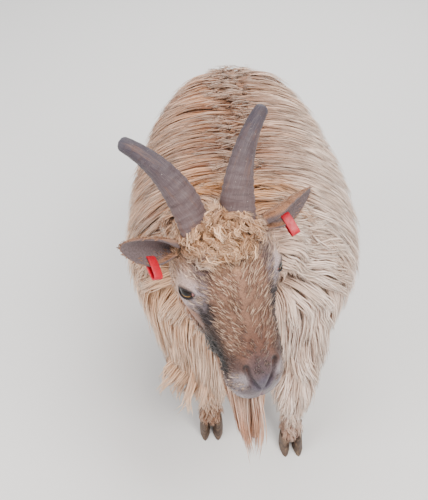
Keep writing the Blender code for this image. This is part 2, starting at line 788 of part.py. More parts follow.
def make_leg(name, collection, material):
    """A leg from inside the body to the pastern, ending flat above the claws."""
    foot_x, foot_y = FEET[name]
    outward = math.copysign(1.0, foot_x)
    stations = FORELEG_STATIONS if name.startswith("fore") else HINDLEG_STATIONS
    rings = []
    for step in range(LEG_RINGS + 1):
        z, x, y, half_width, half_depth = blend_stations(stations, step / LEG_RINGS)
        rings.append([
            Vector((
                foot_x + x * outward + half_width * math.sin(2 * math.pi * index / LEG_SIDES),
                foot_y + y + half_depth * math.cos(2 * math.pi * index / LEG_SIDES),
                z,
            ))
            for index in range(LEG_SIDES)
        ])
    return loft_object(name, rings, collection, material)


def make_claw(name, foot, side, collection, material):
    """One of the two claws of a foot, flat below and pointed in front."""
    rings = []
    middle_x = foot[0] + side * (CLAW_HALF_WIDTH + CLAW_CLEFT / 2)
    for height, shrink, shift in CLAW_SECTIONS:
        ring = []
        for index in range(CLAW_SIDES):
            angle = 2 * math.pi * index / CLAW_SIDES
            narrow = 1.0 - 0.35 * max(0.0, -math.cos(angle))
            ring.append(Vector((
                middle_x + CLAW_HALF_WIDTH * shrink * narrow * math.sin(angle),
                foot[1] + shift + CLAW_HALF_LENGTH * shrink * math.cos(angle),
                height,
            )))
        rings.append(ring)
    return loft_object(name, rings, collection, material)


def make_tail(collection, material):
    """The short tail, carried up."""
    rings = []
    count = 6
    places = [blend_stations(TAIL_STATIONS, step / count) for step in range(count + 1)]
    for step, (y, z, half_width, half_thickness) in enumerate(places):
        before, after = places[max(step - 1, 0)], places[min(step + 1, count)]
        forward = Vector((0, after[0] - before[0], after[1] - before[1])).normalized()
        up = Vector((1, 0, 0)).cross(forward)
        rings.append([
            Vector((0, y, z))
            + Vector((1, 0, 0)) * half_width * math.sin(2 * math.pi * index / TAIL_SIDES)
            + up * half_thickness * math.cos(2 * math.pi * index / TAIL_SIDES)
            for index in range(TAIL_SIDES)
        ])
    return loft_object("tail", rings, collection, material)


def coat_heading(place, out):
    """The coat's lie on the body: out from the spine, down the flanks and a little back."""
    flat = max(out.z, 0.0)
    side = math.copysign(1.0, place.x)
    share = (place.y - SWEEP_SPAN[0]) / (SWEEP_SPAN[1] - SWEEP_SPAN[0])
    return Vector((side * flat * 1.3, SWEEP * min(max(share, 0.0), 1.0), flat * 0.5 - 1.0))


def neck_heading(place, out):
    """The neck's coat lies back towards the withers and down."""
    flat = max(out.z, 0.0)
    side = math.copysign(1.0, place.x - POLL.x * 0.5)
    return Vector((side * flat * 0.8, 0.55, -0.8 + flat * 0.5))


def down_heading(place, out):
    """Straight down."""
    return Vector((0.0, 0.0, -1.0))


def torso_places(torso, chance):
    """Roots of the coat on barrel, chest and rump."""
    tree = joined_tree([torso])
    places = []
    for name, side in MIRROR.items():
        for tier, (angle, length, width) in enumerate(BARREL_TIERS):
            lean = math.radians(angle)
            fringe = FRONT_FRINGE[name] if tier == len(BARREL_TIERS) - 1 else 0.0
            for index in range(BARREL_COUNT):
                share = (index + 0.5 * (tier % 2) + chance.uniform(-0.15, 0.15)) / (BARREL_COUNT - 0.5)
                y = BARREL_SPAN[0] + (BARREL_SPAN[1] - BARREL_SPAN[0]) * share
                heading = Vector((side * math.sin(lean), 0, math.cos(lean)))
                hit = tree.ray_cast(Vector((0, y, 0.31)), heading)[0]
                if hit:
                    places.append((hit, coat_heading, length * (1 + fringe * (1 - share)), width, COAT_LIFT))
    for rows, facing, origin_y in ((CHEST_ROWS, -1, -0.10), (RUMP_ROWS, 1, 0.15)):
        for row, (height, length) in enumerate(rows):
            for turn in END_TURNS:
                turn = math.radians(turn + 15 * (row % 2) + chance.uniform(-4, 4))
                hit = tree.ray_cast(
                    Vector((0, origin_y, height)), Vector((math.sin(turn), facing * math.cos(turn), 0))
                )[0]
                if hit:
                    places.append((hit, coat_heading, length, END_LOCK_WIDTH, COAT_LIFT))
    return places


def neck_places(neck, chance):
    """Roots of the mane and ruff round the neck."""
    tree = joined_tree([neck])
    places = []
    for row, share in enumerate(NECK_ROWS):
        centre = Vector(blend_stations(NECK_STATIONS, share)[:3])
        ahead = Vector(blend_stations(NECK_STATIONS, share + 0.05)[:3]) - centre
        side = ahead.cross(Vector((0, 0, 1))).normalized()
        up = side.cross(ahead).normalized()
        for turn in NECK_TURNS:
            for mirror in MIRROR.values():
                angle = math.radians(turn + 10 * (row % 2) + chance.uniform(-5, 5)) * mirror
                hit = tree.ray_cast(centre, side * math.sin(angle) + up * math.cos(angle))[0]
                if hit:
                    places.append((hit, neck_heading, *NECK_LOCK, COAT_LIFT))
    return places


def head_places(head, chance):
    """Roots of forelock, cheek hair and beard."""
    tree = joined_tree([head])
    places = []

    def forehead_heading(place, out):
        across = (place - POLL).dot(ACROSS)
        return ALONG + ACROSS * across * 9

    def cheek_heading(place, out):
        return Vector((0, 0, -1)) - ALONG * 0.35

    def beard_heading(place, out):
        across = (place - POLL).dot(ACROSS)
        return Vector((0, 0, -1)) - ACROSS * across * 9

    for along, spread in FORELOCK_ROWS:
        for across in spread:
            hit = tree.ray_cast(head_point(across, along, 0.08), -OUT)[0]
            places.append((hit, forehead_heading, *FORELOCK, HEAD_LIFT))
    for along in CHEEK_PLACES:
        for turn, length in CHEEK_TURNS:
            for mirror in MIRROR.values():
                angle = math.radians(turn + chance.uniform(-6, 6)) * mirror
                hit = tree.ray_cast(
                    head_point(0, along, -0.045), head_direction(math.sin(angle), 0, math.cos(angle))
                )[0]
                places.append((hit, cheek_heading, length, CHEEK_LOCK_WIDTH, HEAD_LIFT))
    for along, count in BEARD_ROWS:
        for index in range(count):
            across = BEARD_SPREAD * ((index + 0.5) / count - 0.5)
            hit = tree.ray_cast(head_point(across, along, -0.05), -OUT)[0]
            places.append((hit, beard_heading, *BEARD_LOCK, HEAD_LIFT))
    return places


def leg_places(leg, name, chance):
    """Roots of the feathering round a leg."""
    tree = joined_tree([leg])
    front = name.startswith("fore")
    stations = FORELEG_STATIONS if front else HINDLEG_STATIONS
    outward = math.copysign(1.0, FEET[name][0])
    places = []

    def add_place(angle, height, length, lift):
        x, y = next(station for station in stations if station[0] <= height)[1:3]
        centre = Vector((FEET[name][0] + x * outward, FEET[name][1] + y, height))
        hit = tree.ray_cast(centre, Vector((math.sin(angle), math.cos(angle), 0)))[0]
        places.append((hit, down_heading, length, LEG_LOCK_WIDTH, lift))

    for row, (height, length, lift, count) in enumerate(FORELEG_FEATHERS if front else HINDLEG_FEATHERS):
        for index in range(count):
            angle = 2 * math.pi * (index + 0.5 * row) / count + chance.uniform(-0.15, 0.15)
            add_place(angle, height, length, lift)
    if name == "foreleg_right":
        for turn, height, length, lift in SHOULDER_TUFT:
            add_place(math.radians(turn), height, length, lift)
    return places


def tail_places(tail):
    """Roots of the tuft round the tail."""
    tree = joined_tree([tail])
    places = []

    def tail_heading(place, out):
        return Vector((0.0, 0.45, -1.0))

    for share, length in TAIL_ROWS:
        y, z = blend_stations(TAIL_STATIONS, share)[:2]
        for turn in TAIL_TURNS:
            angle = math.radians(turn)
            hit = tree.ray_cast(Vector((0, y, z)), Vector((math.sin(angle), math.cos(angle), 0.3)))[0]
            if hit:
                places.append((hit, tail_heading, length, TAIL_LOCK_WIDTH, TAIL_LIFT))
    return places


def centre_on_floor(collection):
    """Move all parts so that the origin is the middle of their bounding box, at floor level."""
    corners = [vert.co for item in collection.objects for vert in item.data.vertices]
    low = Vector([min(corner[axis] for corner in corners) for axis in range(3)])
    high = Vector([max(corner[axis] for corner in corners) for axis in range(3)])
    shift = Matrix.Translation(Vector((-(low.x + high.x) / 2, -(low.y + high.y) / 2, -low.z)))
    for item in collection.objects:
        item.data.transform(shift)


def dress_goat(goat, torso, neck, head, tail, legs, chance):
    """Grow each node's coat in turn, clear of every other node."""
    trees = {item.name: joined_tree([item]) for item in goat.objects}

    def dress(item, guides, places):
        others = [tree for name, tree in trees.items() if name != item.name]
        grow_locks(item, guides, others, places, SEED)
        trees[item.name] = joined_tree([item])

    for name, leg in legs.items():
        dress(leg, [leg], leg_places(leg, name, chance))
    dress(tail, [tail], tail_places(tail))
    dress(head, [head], head_places(head, chance))
    dress(neck, [neck, torso], neck_places(neck, chance))
    dress(torso, [torso], torso_places(torso, chance))


def build_goat():
    """Make every part, cut each clear of what it meets, and join the coat to it."""
    clear_scene()
    goat = bpy.data.collections.new("pygmy_goat")
    cutters = bpy.data.collections.new("cutters")
    bpy.context.scene.collection.children.link(goat)
    bpy.context.scene.collection.children.link(cutters)

    coat = make_material("coat", (0.72, 0.55, 0.40), 0.8)
    face = make_material("face", (0.42, 0.27, 0.19), 0.8)
    horn = make_material("horn", (0.20, 0.16, 0.16), 0.5)
    hoof = make_material("hoof", (0.07, 0.05, 0.04), 0.45)
    eye = make_material("eye", (0.05, 0.03, 0.01), 0.05)
    ear = make_material("ear", (0.45, 0.32, 0.24), 0.8)
    tag = make_material("tag", (0.75, 0.03, 0.06), 0.4)

    torso = make_torso(goat, coat)
    neck = make_neck(goat, coat)
    head = make_skull(goat, face)
    legs = {name: make_leg(name, goat, coat) for name in FEET}
    tail = make_tail(goat, coat)

    shells = [grown_copy(torso, GAP, cutters), grown_copy(head, GAP, cutters)]
    apply_boolean(neck, shells, "DIFFERENCE", "MANIFOLD")
    sockets = [grown_copy(item, GAP, cutters) for item in (*legs.values(), tail)]
    apply_boolean(torso, sockets, "DIFFERENCE", "MANIFOLD")

    for name, mirror in MIRROR.items():
        eyeball = make_eye(f"eye_{name}", mirror, goat, eye)
        horn_part = make_horn(f"horn_{name}", mirror, goat, horn)
        ear_part = make_ear(name, goat, ear)
        apply_boolean(head, [make_lids(mirror, cutters)], "UNION", "MANIFOLD")
        apply_boolean(
            head,
            [grown_copy(part, GAP, cutters) for part in (eyeball, horn_part, ear_part)],
            "DIFFERENCE",
            "MANIFOLD",
        )
        apply_boolean(neck, [grown_copy(ear_part, GAP, cutters)], "DIFFERENCE", "MANIFOLD")
        tag_part = make_tag(name, goat, tag)
        apply_boolean(ear_part, [grown_copy(tag_part, GAP, cutters)], "DIFFERENCE", "MANIFOLD")

    openings = [make_nostril(mirror, cutters) for mirror in MIRROR.values()]
    openings.append(make_mouth(head, cutters))
    apply_boolean(head, openings, "DIFFERENCE", "MANIFOLD")

    for name, foot in FEET.items():
        for side, label in ((-1, "a"), (1, "b")):
            make_claw(f"hoof_{name}_{label}", foot, side, goat, hoof)

    chance = random.Random(SEED)
    dress_goat(goat, torso, neck, head, tail, legs, chance)
    centre_on_floor(goat)


build_goat()
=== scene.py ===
import math

import bmesh
import bpy
import numpy as np
from mathutils import Matrix, Vector, kdtree
from mathutils.bvhtree import BVHTree


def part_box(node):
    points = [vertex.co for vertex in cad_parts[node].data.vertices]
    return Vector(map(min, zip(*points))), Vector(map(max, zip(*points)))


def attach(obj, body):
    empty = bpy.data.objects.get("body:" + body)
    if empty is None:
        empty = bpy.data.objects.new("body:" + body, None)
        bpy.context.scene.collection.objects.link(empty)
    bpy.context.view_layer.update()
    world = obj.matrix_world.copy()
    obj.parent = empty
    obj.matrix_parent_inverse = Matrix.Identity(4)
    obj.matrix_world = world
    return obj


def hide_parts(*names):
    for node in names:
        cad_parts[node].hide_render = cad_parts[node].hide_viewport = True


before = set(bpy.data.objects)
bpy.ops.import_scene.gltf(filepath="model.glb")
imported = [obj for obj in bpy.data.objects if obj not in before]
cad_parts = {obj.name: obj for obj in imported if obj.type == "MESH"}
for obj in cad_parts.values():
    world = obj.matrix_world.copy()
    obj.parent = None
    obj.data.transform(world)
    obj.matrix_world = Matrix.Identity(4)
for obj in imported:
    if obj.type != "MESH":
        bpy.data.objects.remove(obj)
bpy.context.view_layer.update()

# Skin: one tanned hide over torso, neck, legs, tail, head and ears, glued over a carved form so
# that no seam shows. It lies under the coat by the coat's depth, and shows through the short hair
# of face, ears and shins.
HEAD_YAW = math.radians(22.6)
FACE_PITCH = math.radians(44.9)
HEAD_ROLL = math.radians(-1.6)
EYE_RADIUS = 0.0135
EYE_PLACE = (0.0500, 0.068, -0.016)
EYE_GAZE = (0.86, 0.34, 0.38)
EYE_SLIT = (-0.31, 0.62, 0.71)
MIRROR = {"right": -1, "left": 1}
# The head's own directions: across to the goat's left, along from poll to nose, out of the face
forward = Vector((math.sin(HEAD_YAW), -math.cos(HEAD_YAW), 0.0))
along_face = forward * math.cos(FACE_PITCH) - Vector((0, 0, 1)) * math.sin(FACE_PITCH)
roll_turn = Matrix.Rotation(-HEAD_ROLL, 3, along_face)
across_face = roll_turn @ Vector((math.cos(HEAD_YAW), math.sin(HEAD_YAW), 0.0))
out_of_face = roll_turn @ (forward * math.sin(FACE_PITCH) + Vector((0, 0, 1)) * math.cos(FACE_PITCH))
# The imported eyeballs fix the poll, and the body's stations move by the same step as the poll
eye_centres = {side: sum(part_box(f"eye_{side}"), Vector()) / 2 for side in ("left", "right")}
between_eyes = (eye_centres["left"] + eye_centres["right"]) / 2
poll = between_eyes - along_face * EYE_PLACE[1] - out_of_face * EYE_PLACE[2]
body_shift = poll - Vector((-0.034, -0.268, 0.504))

# Torso from chest to rump: y, half width, top, widest height, bottom
TORSO_STATIONS = (
    (-0.225, 0.030, 0.340, 0.305, 0.270),
    (-0.217, 0.075, 0.372, 0.300, 0.232),
    (-0.190, 0.118, 0.408, 0.292, 0.205),
    (-0.140, 0.150, 0.438, 0.286, 0.190),
    (-0.080, 0.166, 0.446, 0.280, 0.184),
    (0.000, 0.172, 0.440, 0.274, 0.176),
    (0.080, 0.170, 0.440, 0.274, 0.176),
    (0.150, 0.155, 0.448, 0.284, 0.188),
    (0.210, 0.130, 0.452, 0.300, 0.208),
    (0.250, 0.098, 0.438, 0.314, 0.240),
    (0.268, 0.050, 0.402, 0.322, 0.272),
)
LEFT_SWELL = 0.006
COAT_DEPTH = 0.007
# Neck from withers to skull: x, y, z, half width, half depth
NECK_STATIONS = (
    (0.000, -0.080, 0.350, 0.105, 0.085),
    (-0.003, -0.140, 0.375, 0.098, 0.086),
    (-0.014, -0.190, 0.404, 0.084, 0.080),
    (-0.026, -0.228, 0.430, 0.072, 0.070),
    (-0.036, -0.258, 0.448, 0.058, 0.054),
)
# Head: along the face, half width, top, widest level, bottom
HEAD_STATIONS = (
    (-0.026, 0.018, -0.026, -0.036, -0.048),
    (-0.018, 0.036, -0.008, -0.040, -0.076),
    (0.000, 0.048, 0.004, -0.040, -0.098),
    (0.030, 0.055, 0.011, -0.040, -0.108),
    (0.060, 0.058, 0.012, -0.040, -0.108),
    (0.090, 0.052, 0.007, -0.044, -0.102),
    (0.120, 0.044, 0.001, -0.040, -0.090),
    (0.150, 0.039, -0.003, -0.038, -0.084),
    (0.176, 0.037, -0.006, -0.040, -0.081),
    (0.194, 0.034, -0.011, -0.042, -0.076),
    (0.207, 0.027, -0.020, -0.044, -0.069),
    (0.214, 0.016, -0.031, -0.045, -0.059),
    (0.216, 0.006, -0.039, -0.045, -0.051),
)
HEAD_SQUARENESS = 0.86
HEAD_INSET = 0.0010
# The front of the muzzle slopes back from the lips to the top of the nose
MUZZLE_START = 0.125
MUZZLE_END = 0.205
MUZZLE_LEVEL = -0.052
MUZZLE_SLOPE = 0.46
# Swells and hollows of the head: across, along, out of the face, radius, rise
HEAD_FORMS = (
    (0.054, 0.064, -0.017, 0.027, 0.0105),
    (0.050, 0.052, 0.000, 0.014, 0.0030),
    (0.052, 0.090, -0.040, 0.022, 0.0035),
    (0.030, 0.120, -0.020, 0.020, -0.0030),
    (0.020, 0.196, -0.014, 0.011, 0.0030),
    (0.028, 0.194, -0.050, 0.012, 0.0025),
    (0.000, 0.194, -0.072, 0.014, 0.0030),
    (0.036, 0.168, -0.056, 0.012, -0.0025),
)
# Legs from the top down: height, outward and rearward of the foot, half width, half depth
LEG_STATIONS = {
    "foreleg": (
        (0.260, 0.014, 0.050, 0.030, 0.042),
        (0.200, 0.010, 0.038, 0.027, 0.034),
        (0.150, 0.005, 0.020, 0.022, 0.025),
        (0.122, 0.002, 0.012, 0.021, 0.022),
        (0.090, 0.001, 0.010, 0.0150, 0.0160),
        (0.056, 0.000, 0.009, 0.0145, 0.0155),
        (0.040, 0.000, 0.006, 0.0185, 0.0190),
        (0.026, 0.000, 0.000, 0.0170, 0.0190),
    ),
    "hindleg": (
        (0.270, 0.014, -0.062, 0.034, 0.058),
        (0.205, 0.012, -0.046, 0.030, 0.046),
        (0.160, 0.006, -0.006, 0.021, 0.029),
        (0.130, 0.003, 0.022, 0.0170, 0.0235),
        (0.104, 0.002, 0.022, 0.0145, 0.0180),
        (0.060, 0.001, 0.013, 0.0135, 0.0150),
        (0.040, 0.000, 0.008, 0.0180, 0.0185),
        (0.026, 0.000, 0.000, 0.0165, 0.0185),
    ),
}
LEG_INSET = 0.0012
FEET = {
    "foreleg_right": (-0.052, -0.176),
    "foreleg_left": (0.076, -0.212),
    "hindleg_right": (-0.078, 0.188),
    "hindleg_left": (0.082, 0.164),
}
# Tail from root to tip: y, z, half width, half depth
TAIL_STATIONS = (
    (0.205, 0.414, 0.022, 0.014),
    (0.272, 0.408, 0.017, 0.010),
    (0.292, 0.384, 0.012, 0.007),
    (0.298, 0.356, 0.006, 0.004),
)
SKIN_VOXEL = 0.005


def head_direction(across, along, out):
    return (across_face * across + along_face * along + out_of_face * out).normalized()


def head_point(across, along, out):
    return poll + across_face * across + along_face * along + out_of_face * out


def head_place(point):
    """A world point in the head's frame."""
    offset = point - poll
    return Vector((offset.dot(across_face), offset.dot(along_face), offset.dot(out_of_face)))


def eye_frame(side):
    """The gaze of one eye, the line of its slit and the way its upper lid lies."""
    gaze = head_direction(EYE_GAZE[0] * MIRROR[side], *EYE_GAZE[1:])
    slit = head_direction(EYE_SLIT[0] * MIRROR[side], *EYE_SLIT[1:])
    slit = (slit - gaze * slit.dot(gaze)).normalized()
    upper = slit.cross(gaze).normalized()
    if upper.dot(along_face) > 0:
        upper.negate()
    return gaze, slit, upper


def clamped(value):
    return min(max(value, 0.0), 1.0)


def bump_at(value, middle, width):
    return math.exp(-((value - middle) / width) ** 2)


def turns(sides):
    return [2 * math.pi * index / sides for index in range(sides)]


def blend_stations(stations, place):
    """Smoothly interpolate a station table at a place from 0 to 1."""
    last = len(stations) - 1
    along = clamped(place) * last
    index = min(int(along), last - 1)
    part = along - index
    rows = [stations[min(max(index + step, 0), last)] for step in (-1, 0, 1, 2)]
    values = []
    for before, start, end, after in zip(*rows):
        slope_in = (end - before) * 0.5
        slope_out = (after - start) * 0.5
        values.append(
            start * (2 * part**3 - 3 * part**2 + 1)
            + slope_in * (part**3 - 2 * part**2 + part)
            + end * (3 * part**2 - 2 * part**3)
            + slope_out * (part**3 - part**2)
        )
    return values


def add_form(build, rings, closed=False):
    """One form through a row of rings, capped at its ends or closed into a loop."""
    loops = []
    for points in rings:
        made = bmesh.ops.create_circle(build, segments=len(points), radius=1.0)
        for vert, place in zip(made["verts"], points):
            vert.co = place
        loops.append(list({edge for vert in made["verts"] for edge in vert.link_edges}))
    for loop, following in zip(loops, loops[1:] + (loops[:1] if closed else [])):
        bmesh.ops.bridge_loops(build, edges=loop + following)
    if not closed:
        bmesh.ops.holes_fill(build, edges=loops[0] + loops[-1], sides=0)


def mesh_object(name, build):
    """An object at the origin with smooth faces that point outwards."""
    bmesh.ops.recalc_face_normals(build, faces=build.faces[:])
    mesh = bpy.data.meshes.new(name)
    build.to_mesh(mesh)
    build.free()
    for face in mesh.polygons:
        face.use_smooth = True
    made = bpy.data.objects.new(name, mesh)
    bpy.context.scene.collection.objects.link(made)
    return made


def finished(item):
    """Apply an object's modifiers and remove them."""
    graph = bpy.context.evaluated_depsgraph_get()
    mesh = bpy.data.meshes.new_from_object(item.evaluated_get(graph))
    item.modifiers.clear()
    item.data = mesh


def joined(item, other, operation):
    """Join another closed form to an object, or cut it away, and remove the other."""
    modifier = item.modifiers.new("join", "BOOLEAN")
    modifier.operation = operation
    modifier.object = other
    modifier.solver = "MANIFOLD"
    finished(item)
    bpy.data.objects.remove(other, do_unlink=True)


def torso_rings(count=26, sides=40):
    for ring in range(count):
        y, half, top, wide, bottom = blend_stations(TORSO_STATIONS, ring / (count - 1))
        half, top, bottom = max(half - COAT_DEPTH, 0.012), top - COAT_DEPTH, bottom + COAT_DEPTH
        row = []
        for angle in turns(sides):
            x = half * math.sin(angle) + LEFT_SWELL * math.sin(angle) ** 2 * half / 0.18
            reach = top - wide if math.cos(angle) > 0 else wide - bottom
            row.append(Vector((x, y, wide + reach * math.cos(angle))) + body_shift)
        yield row


def tube_rings(centres, sizes, sides):
    for step, centre in enumerate(centres):
        ahead = centres[min(step + 1, len(centres) - 1)] - centres[max(step - 1, 0)]
        side = ahead.cross(Vector((0, 0, 1))).normalized()
        up = side.cross(ahead).normalized()
        half_width, half_depth = sizes[step]
        yield [
            centre + side * half_width * math.sin(angle) + up * half_depth * math.cos(angle)
            for angle in turns(sides)
        ]


def leg_rings(name, count=24, sides=24):
    foot_x, foot_y = FEET[name]
    outward = math.copysign(1.0, foot_x)
    for step in range(count):
        station = blend_stations(LEG_STATIONS[name.split("_")[0]], step / (count - 1))
        z, x, y, half_width, half_depth = station
        yield [
            Vector((
                foot_x + x * outward + (half_width - LEG_INSET) * math.sin(angle),
                foot_y + y + (half_depth - LEG_INSET) * math.cos(angle),
                z,
            )) + body_shift
            for angle in turns(sides)
        ]


def head_rings(count=56, sides=56):
    for ring in range(count):
        along, half, top, wide, bottom = blend_stations(HEAD_STATIONS, ring / (count - 1))
        fore = clamped((along - MUZZLE_START) / (MUZZLE_END - MUZZLE_START))
        row = []
        for angle in turns(sides):
            sine, cosine = math.sin(angle), math.cos(angle)
            reach = top - wide if cosine > 0 else wide - bottom
            x = half * math.copysign(abs(sine) ** HEAD_SQUARENESS, sine)
            out = wide + reach * math.copysign(abs(cosine) ** HEAD_SQUARENESS, cosine)
            place = Vector((x, along, out))
            away = Vector((sine / half, 0.0, cosine / reach)).normalized()
            for form_x, form_along, form_out, radius, rise in HEAD_FORMS:
                for mirror in (-1, 1):
                    middle = Vector((form_x * mirror, form_along, form_out))
                    share = math.exp(-((place - middle).length / radius) ** 2)
                    place = place + away * rise * share * (1.0 if form_x else 0.5)
            place = place - away * HEAD_INSET
            above = max(place.z - MUZZLE_LEVEL, 0.0)
            place.y -= MUZZLE_SLOPE * fore * fore * (3 - 2 * fore) * above
            row.append(head_point(*place))
        yield row


flesh = bmesh.new()
add_form(flesh, list(torso_rings()))
neck_steps = [blend_stations(NECK_STATIONS, step / 10) for step in range(11)]
add_form(flesh, list(tube_rings(
    [Vector(step[:3]) + body_shift for step in neck_steps],
    [(step[3] - COAT_DEPTH, step[4] - COAT_DEPTH) for step in neck_steps], 32,
)))
for name in FEET:
    add_form(flesh, list(leg_rings(name)))
tail_steps = [blend_stations(TAIL_STATIONS, step / 8) for step in range(9)]
tail_centres = [Vector((0.0, step[0], step[1])) + body_shift for step in tail_steps]
add_form(flesh, list(tube_rings(tail_centres, [step[2:] for step in tail_steps], 16)))
add_form(flesh, list(head_rings()))
skin = mesh_object("skin", flesh)
remesh = skin.modifiers.new("remesh", "REMESH")
remesh.mode = "VOXEL"
remesh.voxel_size = SKIN_VOXEL
finished(skin)

# The head gets finer faces, then settles on its true form, with nostrils, mouth and folds
shape = bmesh.new()
add_form(shape, list(head_rings()))
bmesh.ops.recalc_face_normals(shape, faces=shape.faces[:])
head_tree = BVHTree.FromBMesh(shape)
shape.free()
MOUTH_CENTRE = (0.178, -0.059)
MOUTH_CLIMB = 0.012
MOUTH_SWEEP = math.radians(118)
NOSTRIL_GUIDES = ((0.0190, 0.176, -0.010), (0.0165, 0.190, -0.017), (0.0040, 0.203, -0.034))
SETTLE_REACH = 0.0035
nostril_points = []
for guide in NOSTRIL_GUIDES:
    found = head_place(head_tree.find_nearest(head_point(*guide))[0])
    nostril_points.append(Vector((abs(found.x), found.y, found.z)))


def nostril_at(place):
    """How far along the slit of the nostril a place lies, and how far from it."""
    spot = Vector((abs(place.x), place.y, place.z))
    best = (0.0, 1.0)
    for index, (start, end) in enumerate(zip(nostril_points, nostril_points[1:])):
        share = clamped((spot - start).dot(end - start) / (end - start).length_squared)
        distance = (spot - start.lerp(end, share)).length
        if distance < best[1]:
            best = ((index + share) / 2, distance)
    return best


def mouth_at(place):
    """How strong the line of the mouth is at a place, and how far the place is above it."""
    sweep = math.atan2(abs(place.x), place.y - MOUTH_CENTRE[0])
    if place.y < 0.10 or sweep > MOUTH_SWEEP:
        return 0.0, 1.0
    fade = 1 - max(0.0, (sweep / MOUTH_SWEEP - 0.85) / 0.15)
    return fade, place.z - MOUTH_CENTRE[1] - MOUTH_CLIMB * (1 - math.cos(sweep))


def head_fold(place):
    """Rise of the skin at a place of the muzzle: nostrils, mouth, lips and cheek lines."""
    across, along, out = abs(place.x), place.y, place.z
    if along <= 0.10:
        return 0.0
    slit, distance = nostril_at(place)
    depth = 0.0068 * (1 - slit) ** 0.7 * min(1.0, slit * 5 + 0.3) + 0.0012
    rise = -depth * math.exp(-(distance / (0.0036 - 0.0020 * slit)) ** 2)
    rise += 0.0017 * bump_at(distance, 0.0066, 0.0030) * (1 - slit * 0.8)
    fade, above = mouth_at(place)
    rise -= 0.0040 * fade * bump_at(above, 0.0, 0.0016)
    for lip in (0.0050, -0.0050):
        rise += 0.0013 * fade * bump_at(above, lip, 0.0030)
    if across < 0.008 and along > 0.19:
        rise -= 0.0016 * bump_at(across, 0.0, 0.0014) * bump_at(out, -0.046, 0.011)
    wrinkles = 0.0006 * math.sin((along - 0.12) * 260 + out * 90)
    return rise + wrinkles * bump_at(along, 0.150, 0.022) * bump_at(out, -0.034, 0.018)


def on_skull(point):
    """Whether a point of the skin belongs to the head."""
    place = head_place(point)
    return (
        place.y > 0.004 and place.z > -0.125 and point.z > 0.30 and point.y < poll.y + 0.06
        and (head_tree.find_nearest(point)[3] or 0.0) < 0.004
    )


build = bmesh.new()
build.from_mesh(skin.data)
head_faces = [face for face in build.faces if on_skull(face.calc_center_median())]
head_edges = list({edge for face in head_faces for edge in face.edges})
cuts = 3
bmesh.ops.subdivide_edges(build, edges=head_edges, cuts=cuts, use_grid_fill=True)
build.normal_update()
build.verts.ensure_lookup_table()
for vert in build.verts:
    if vert.co.z < 0.28:
        continue
    spot, normal, _, distance = head_tree.find_nearest(vert.co)
    place = head_place(vert.co)
    if distance < SETTLE_REACH and place.y > 0.0:
        ease = min(1.0, (SETTLE_REACH - distance) / 0.0010) * min(1.0, place.y / 0.02)
        vert.co = vert.co.lerp(spot, ease)
near_head = [
    vert for vert in build.verts
    if vert.co.z > 0.28 and head_place(vert.co).y > 0.0 and head_tree.find_nearest(vert.co)[3] < 0.003
]
for _ in range(3):
    bmesh.ops.smooth_vert(
        build, verts=near_head, factor=0.5, use_axis_x=True, use_axis_y=True, use_axis_z=True
    )
build.normal_update()
for vert in near_head:
    vert.co = vert.co + vert.normal * head_fold(head_place(vert.co))
build.to_mesh(skin.data)
build.free()

# Lids ring each eye, and the ball of the eye clears its socket
LID_HALF_LENGTH = 0.0110
LID_HALF_HEIGHT = 0.0053
LOWER_LID_SHARE = 0.85
LID_THICKNESS = 0.0022
SOCKET_GAP = 0.0004
LID_SECTION = (
    (0.0, 0.0), (-0.02, 0.35), (0.0, 0.70), (0.08, 0.95), (0.20, 1.05), (0.34, 0.85), (0.50, 0.50),
    (0.62, -0.20), (0.75, -1.4), (0.45, 0.0),
)
for side in MIRROR:
    gaze, slit, upper = eye_frame(side)
    inner = EYE_RADIUS + SOCKET_GAP
    lid_rings = []
    for turn in turns(44):
        height = LID_HALF_HEIGHT * (1.0 if math.sin(turn) > 0 else LOWER_LID_SHARE)
        offset = slit * math.cos(turn) * LID_HALF_LENGTH + upper * math.sin(turn) * height
        edge = math.asin(offset.length / inner)
        away = offset.normalized()
        lid_rings.append([
            eye_centres[side] + (away * math.sin(edge + open_by) + gaze * math.cos(edge + open_by))
            * (inner + LID_THICKNESS * rise)
            for open_by, rise in LID_SECTION
        ])
    lids = bmesh.new()
    add_form(lids, lid_rings, closed=True)
    joined(skin, mesh_object("lids", lids), "UNION")
    socket = bmesh.new()
    bmesh.ops.create_uvsphere(
        socket, u_segments=48, v_segments=32, radius=inner - 0.0001,
        matrix=Matrix.Translation(eye_centres[side]),
    )
    joined(skin, mesh_object("socket", socket), "DIFFERENCE")

# Ears: cupped leaves of gristle, each with its own lie. Share of the length, radius, half angle
EAR_BASE = (0.047, 0.014, -0.026)
EAR_AXIS = {"right": (0.86, -0.14, 0.48), "left": (0.93, -0.22, 0.10)}
EAR_OPEN = {"right": (0.20, 0.62, 0.76), "left": (0.20, 0.80, 0.45)}
EAR_LENGTH = 0.084
EAR_THICKNESS = 0.0022
EAR_MIDDLE = 0.014
EAR_STATIONS = (
    (0.00, 0.0080, 150),
    (0.18, 0.0100, 140),
    (0.36, 0.0150, 110),
    (0.55, 0.0185, 86),
    (0.74, 0.0180, 70),
    (0.90, 0.0150, 52),
    (1.00, 0.0110, 26),
)


def ear_frame(side):
    """The ear's root and its directions to the tip, to its lower edge and out of the cup."""
    root = head_point(EAR_BASE[0] * MIRROR[side], *EAR_BASE[1:])
    axis = head_direction(EAR_AXIS[side][0] * MIRROR[side], *EAR_AXIS[side][1:])
    opening = head_direction(EAR_OPEN[side][0] * MIRROR[side], *EAR_OPEN[side][1:])
    opening = (opening - axis * opening.dot(axis)).normalized()
    lower = axis.cross(opening).normalized()
    if lower.z > 0:
        lower.negate()
    return root, axis, lower, opening


